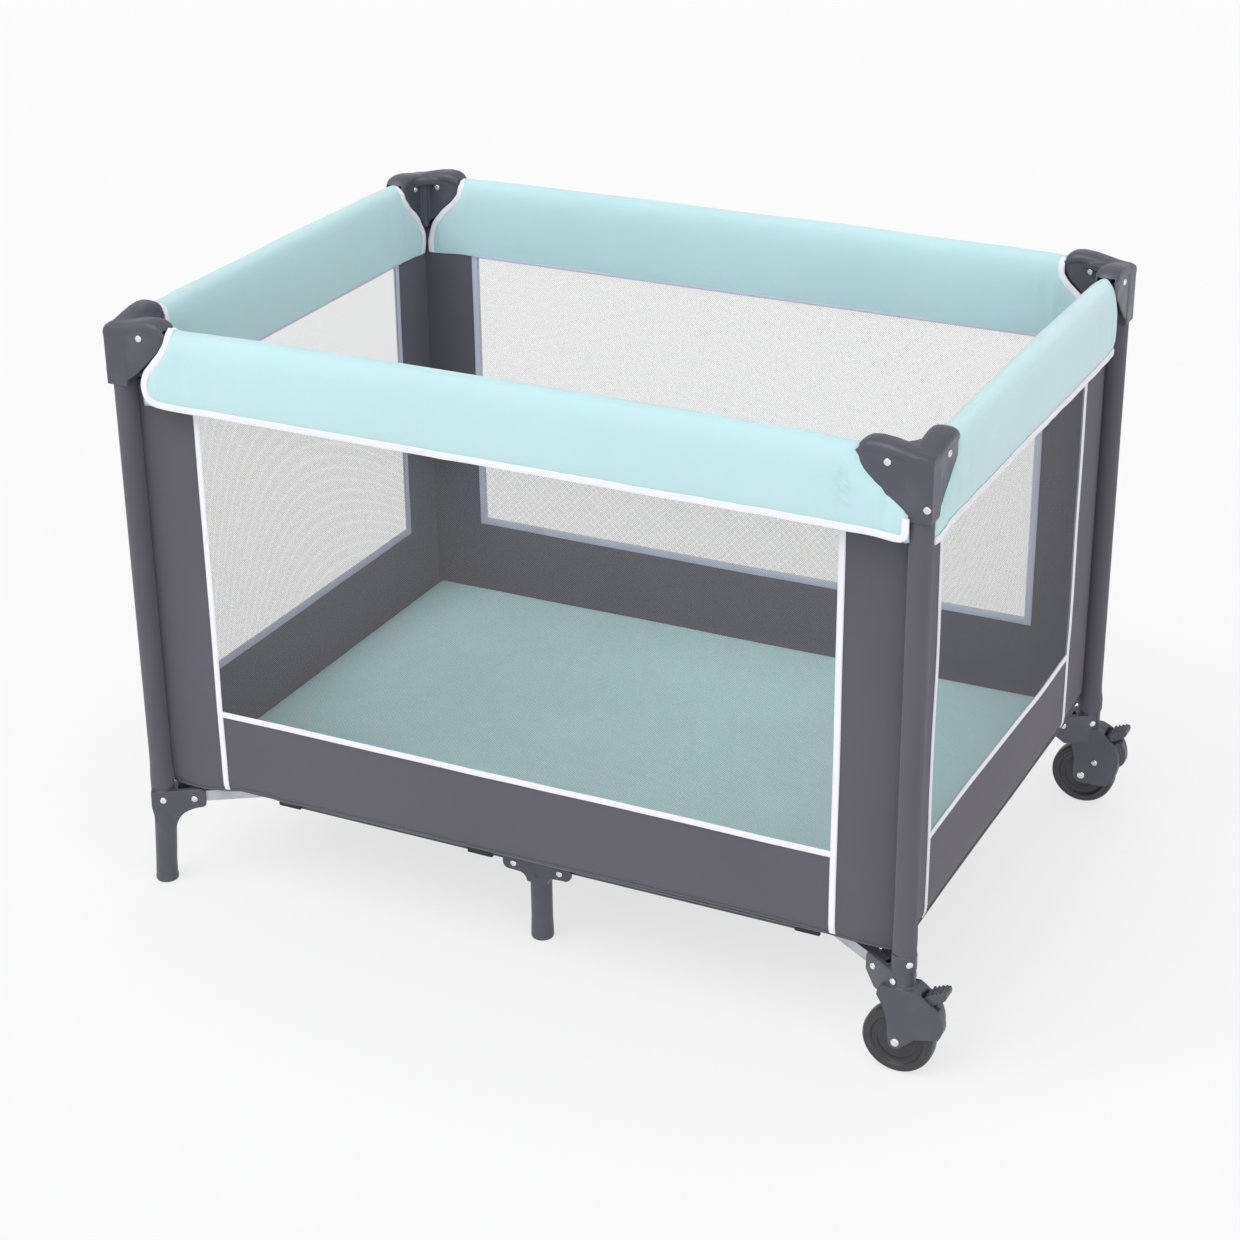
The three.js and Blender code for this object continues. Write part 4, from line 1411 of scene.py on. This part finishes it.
def strut_loop():
    """Black webbing sewn around a strut, which holds the tub's floor down."""
    low, high = (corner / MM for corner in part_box("floor_strut_front_left"))
    centre = (CENTRE.x / MM - 80, (low.y + high.y) / 2, high.z - STRUT_HEIGHT / 2)
    across, up = (high.y - low.y) / 2 + 1.6, STRUT_HEIGHT / 2 + 2.6

    def sleeve(name, grow, x):
        return block(name, *((c - half, c + half) for c, half in zip(centre, (x, across + grow, up + grow))))
    obj = sleeve("strut_loop", 0, 17)
    combined(obj, [sleeve("strut_loop_bore", -1.4, 30)], "DIFFERENCE")
    softened(obj, 0.9)
    finish_piece(obj, BLACK_PLASTIC, "strut_front_left")


# ---- Frame materials ----


def paint_frame():
    """Looks of the CAD nodes that are shown as they are."""
    steel = ("corner_post", "floor_arm", "floor_strut", "long_half_rail", "short_half_rail", "rail_latch")
    for name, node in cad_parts.items():
        if name.startswith(steel + ("center_hub",)):
            node.data.materials.clear()
            node.data.materials.append((STEEL if name.startswith(steel) else GREY_PLASTIC).material)
            node.data.set_sharp_from_angle(angle=math.radians(35))


# ---- Camera, light and floor ----


FLOOR_SIZE = 40  # centre to edge, m


def camera():
    """Camera of the picture, from its fit to the posts, rails and feet."""
    data = bpy.data.cameras.new("camera")
    data.lens = 77.2
    data.sensor_width = 36.0
    data.clip_end = 50
    obj = new_object("camera", data)
    obj.location = Vector((1322.6, -2713.0, 1721.2)) * MM + Vector((CENTRE.x, CENTRE.y, 0))
    yaw, tilt, roll = (math.radians(a) for a in (26.383, 90 - 25.034, -0.628))
    turn = Matrix.Rotation(yaw, 4, "Z") @ Matrix.Rotation(tilt, 4, "X") @ Matrix.Rotation(roll, 4, "Z")
    obj.rotation_euler = turn.to_euler()
    bpy.context.scene.camera = obj


def soft_sun(name, direction, angle, strength):
    """A very wide sun, which lights the whole floor evenly."""
    data = bpy.data.lights.new(name, "SUN")
    data.energy = strength
    data.angle = math.radians(angle)
    obj = new_object(name, data)
    obj.rotation_euler = Vector(direction).to_track_quat("-Z", "Y").to_euler()


def studio():
    """Pale floor and soft even light."""
    scene = bpy.context.scene
    scene.view_settings.view_transform = "Standard"
    scene.view_settings.look = "None"
    world = bpy.data.worlds.new("studio")
    scene.world = world
    world.use_nodes = True
    background = world.node_tree.nodes["Background"]
    background.inputs["Color"].default_value = (1, 1, 1, 1)
    background.inputs["Strength"].default_value = 0.72
    soft_sun("key", (0.35, 0.7, -1.0), 50, 1.5)
    soft_sun("fill", (-0.9, 0.7, -0.5), 60, 0.8)
    mesh = bpy.data.meshes.new("floor")
    corners = [(x * FLOOR_SIZE, y * FLOOR_SIZE, 0) for x, y in ((-1, -1), (1, -1), (1, 1), (-1, 1))]
    mesh.from_pydata(corners, [], [(0, 1, 2, 3)])
    floor = new_object("floor", mesh)
    floor.location.z = -0.5 * MM  # just clear of the wheels
    white = Material("floor_white", (0.2, 0.2, 0.2, 1), 0.9, Emission_Color=(1, 1, 1, 1),
                     Emission_Strength=0.7)
    floor.data.materials.append(white.data)


# ---- Assembly ----

camera()
studio()
paint_frame()
corner_parts()
middle_feet()
floor_struts()
strut_loop()
for wall in SIDES:
    rail_cover(wall)
    cover_trim(wall)
    inner_binding(wall)
    side_panel(wall)
    mesh_window(wall)
    window_binding(wall)
    panel_hem(wall)
for tag in CORNERS:
    post_sleeve(tag)
quarters = [floor_quarter(tag) for tag in CORNERS]
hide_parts("floor_fabric")
mattress_panel("mattress_left", False, True)
mattress_panel("mattress_middle", True, True)
mattress_panel("mattress_right", True, False)
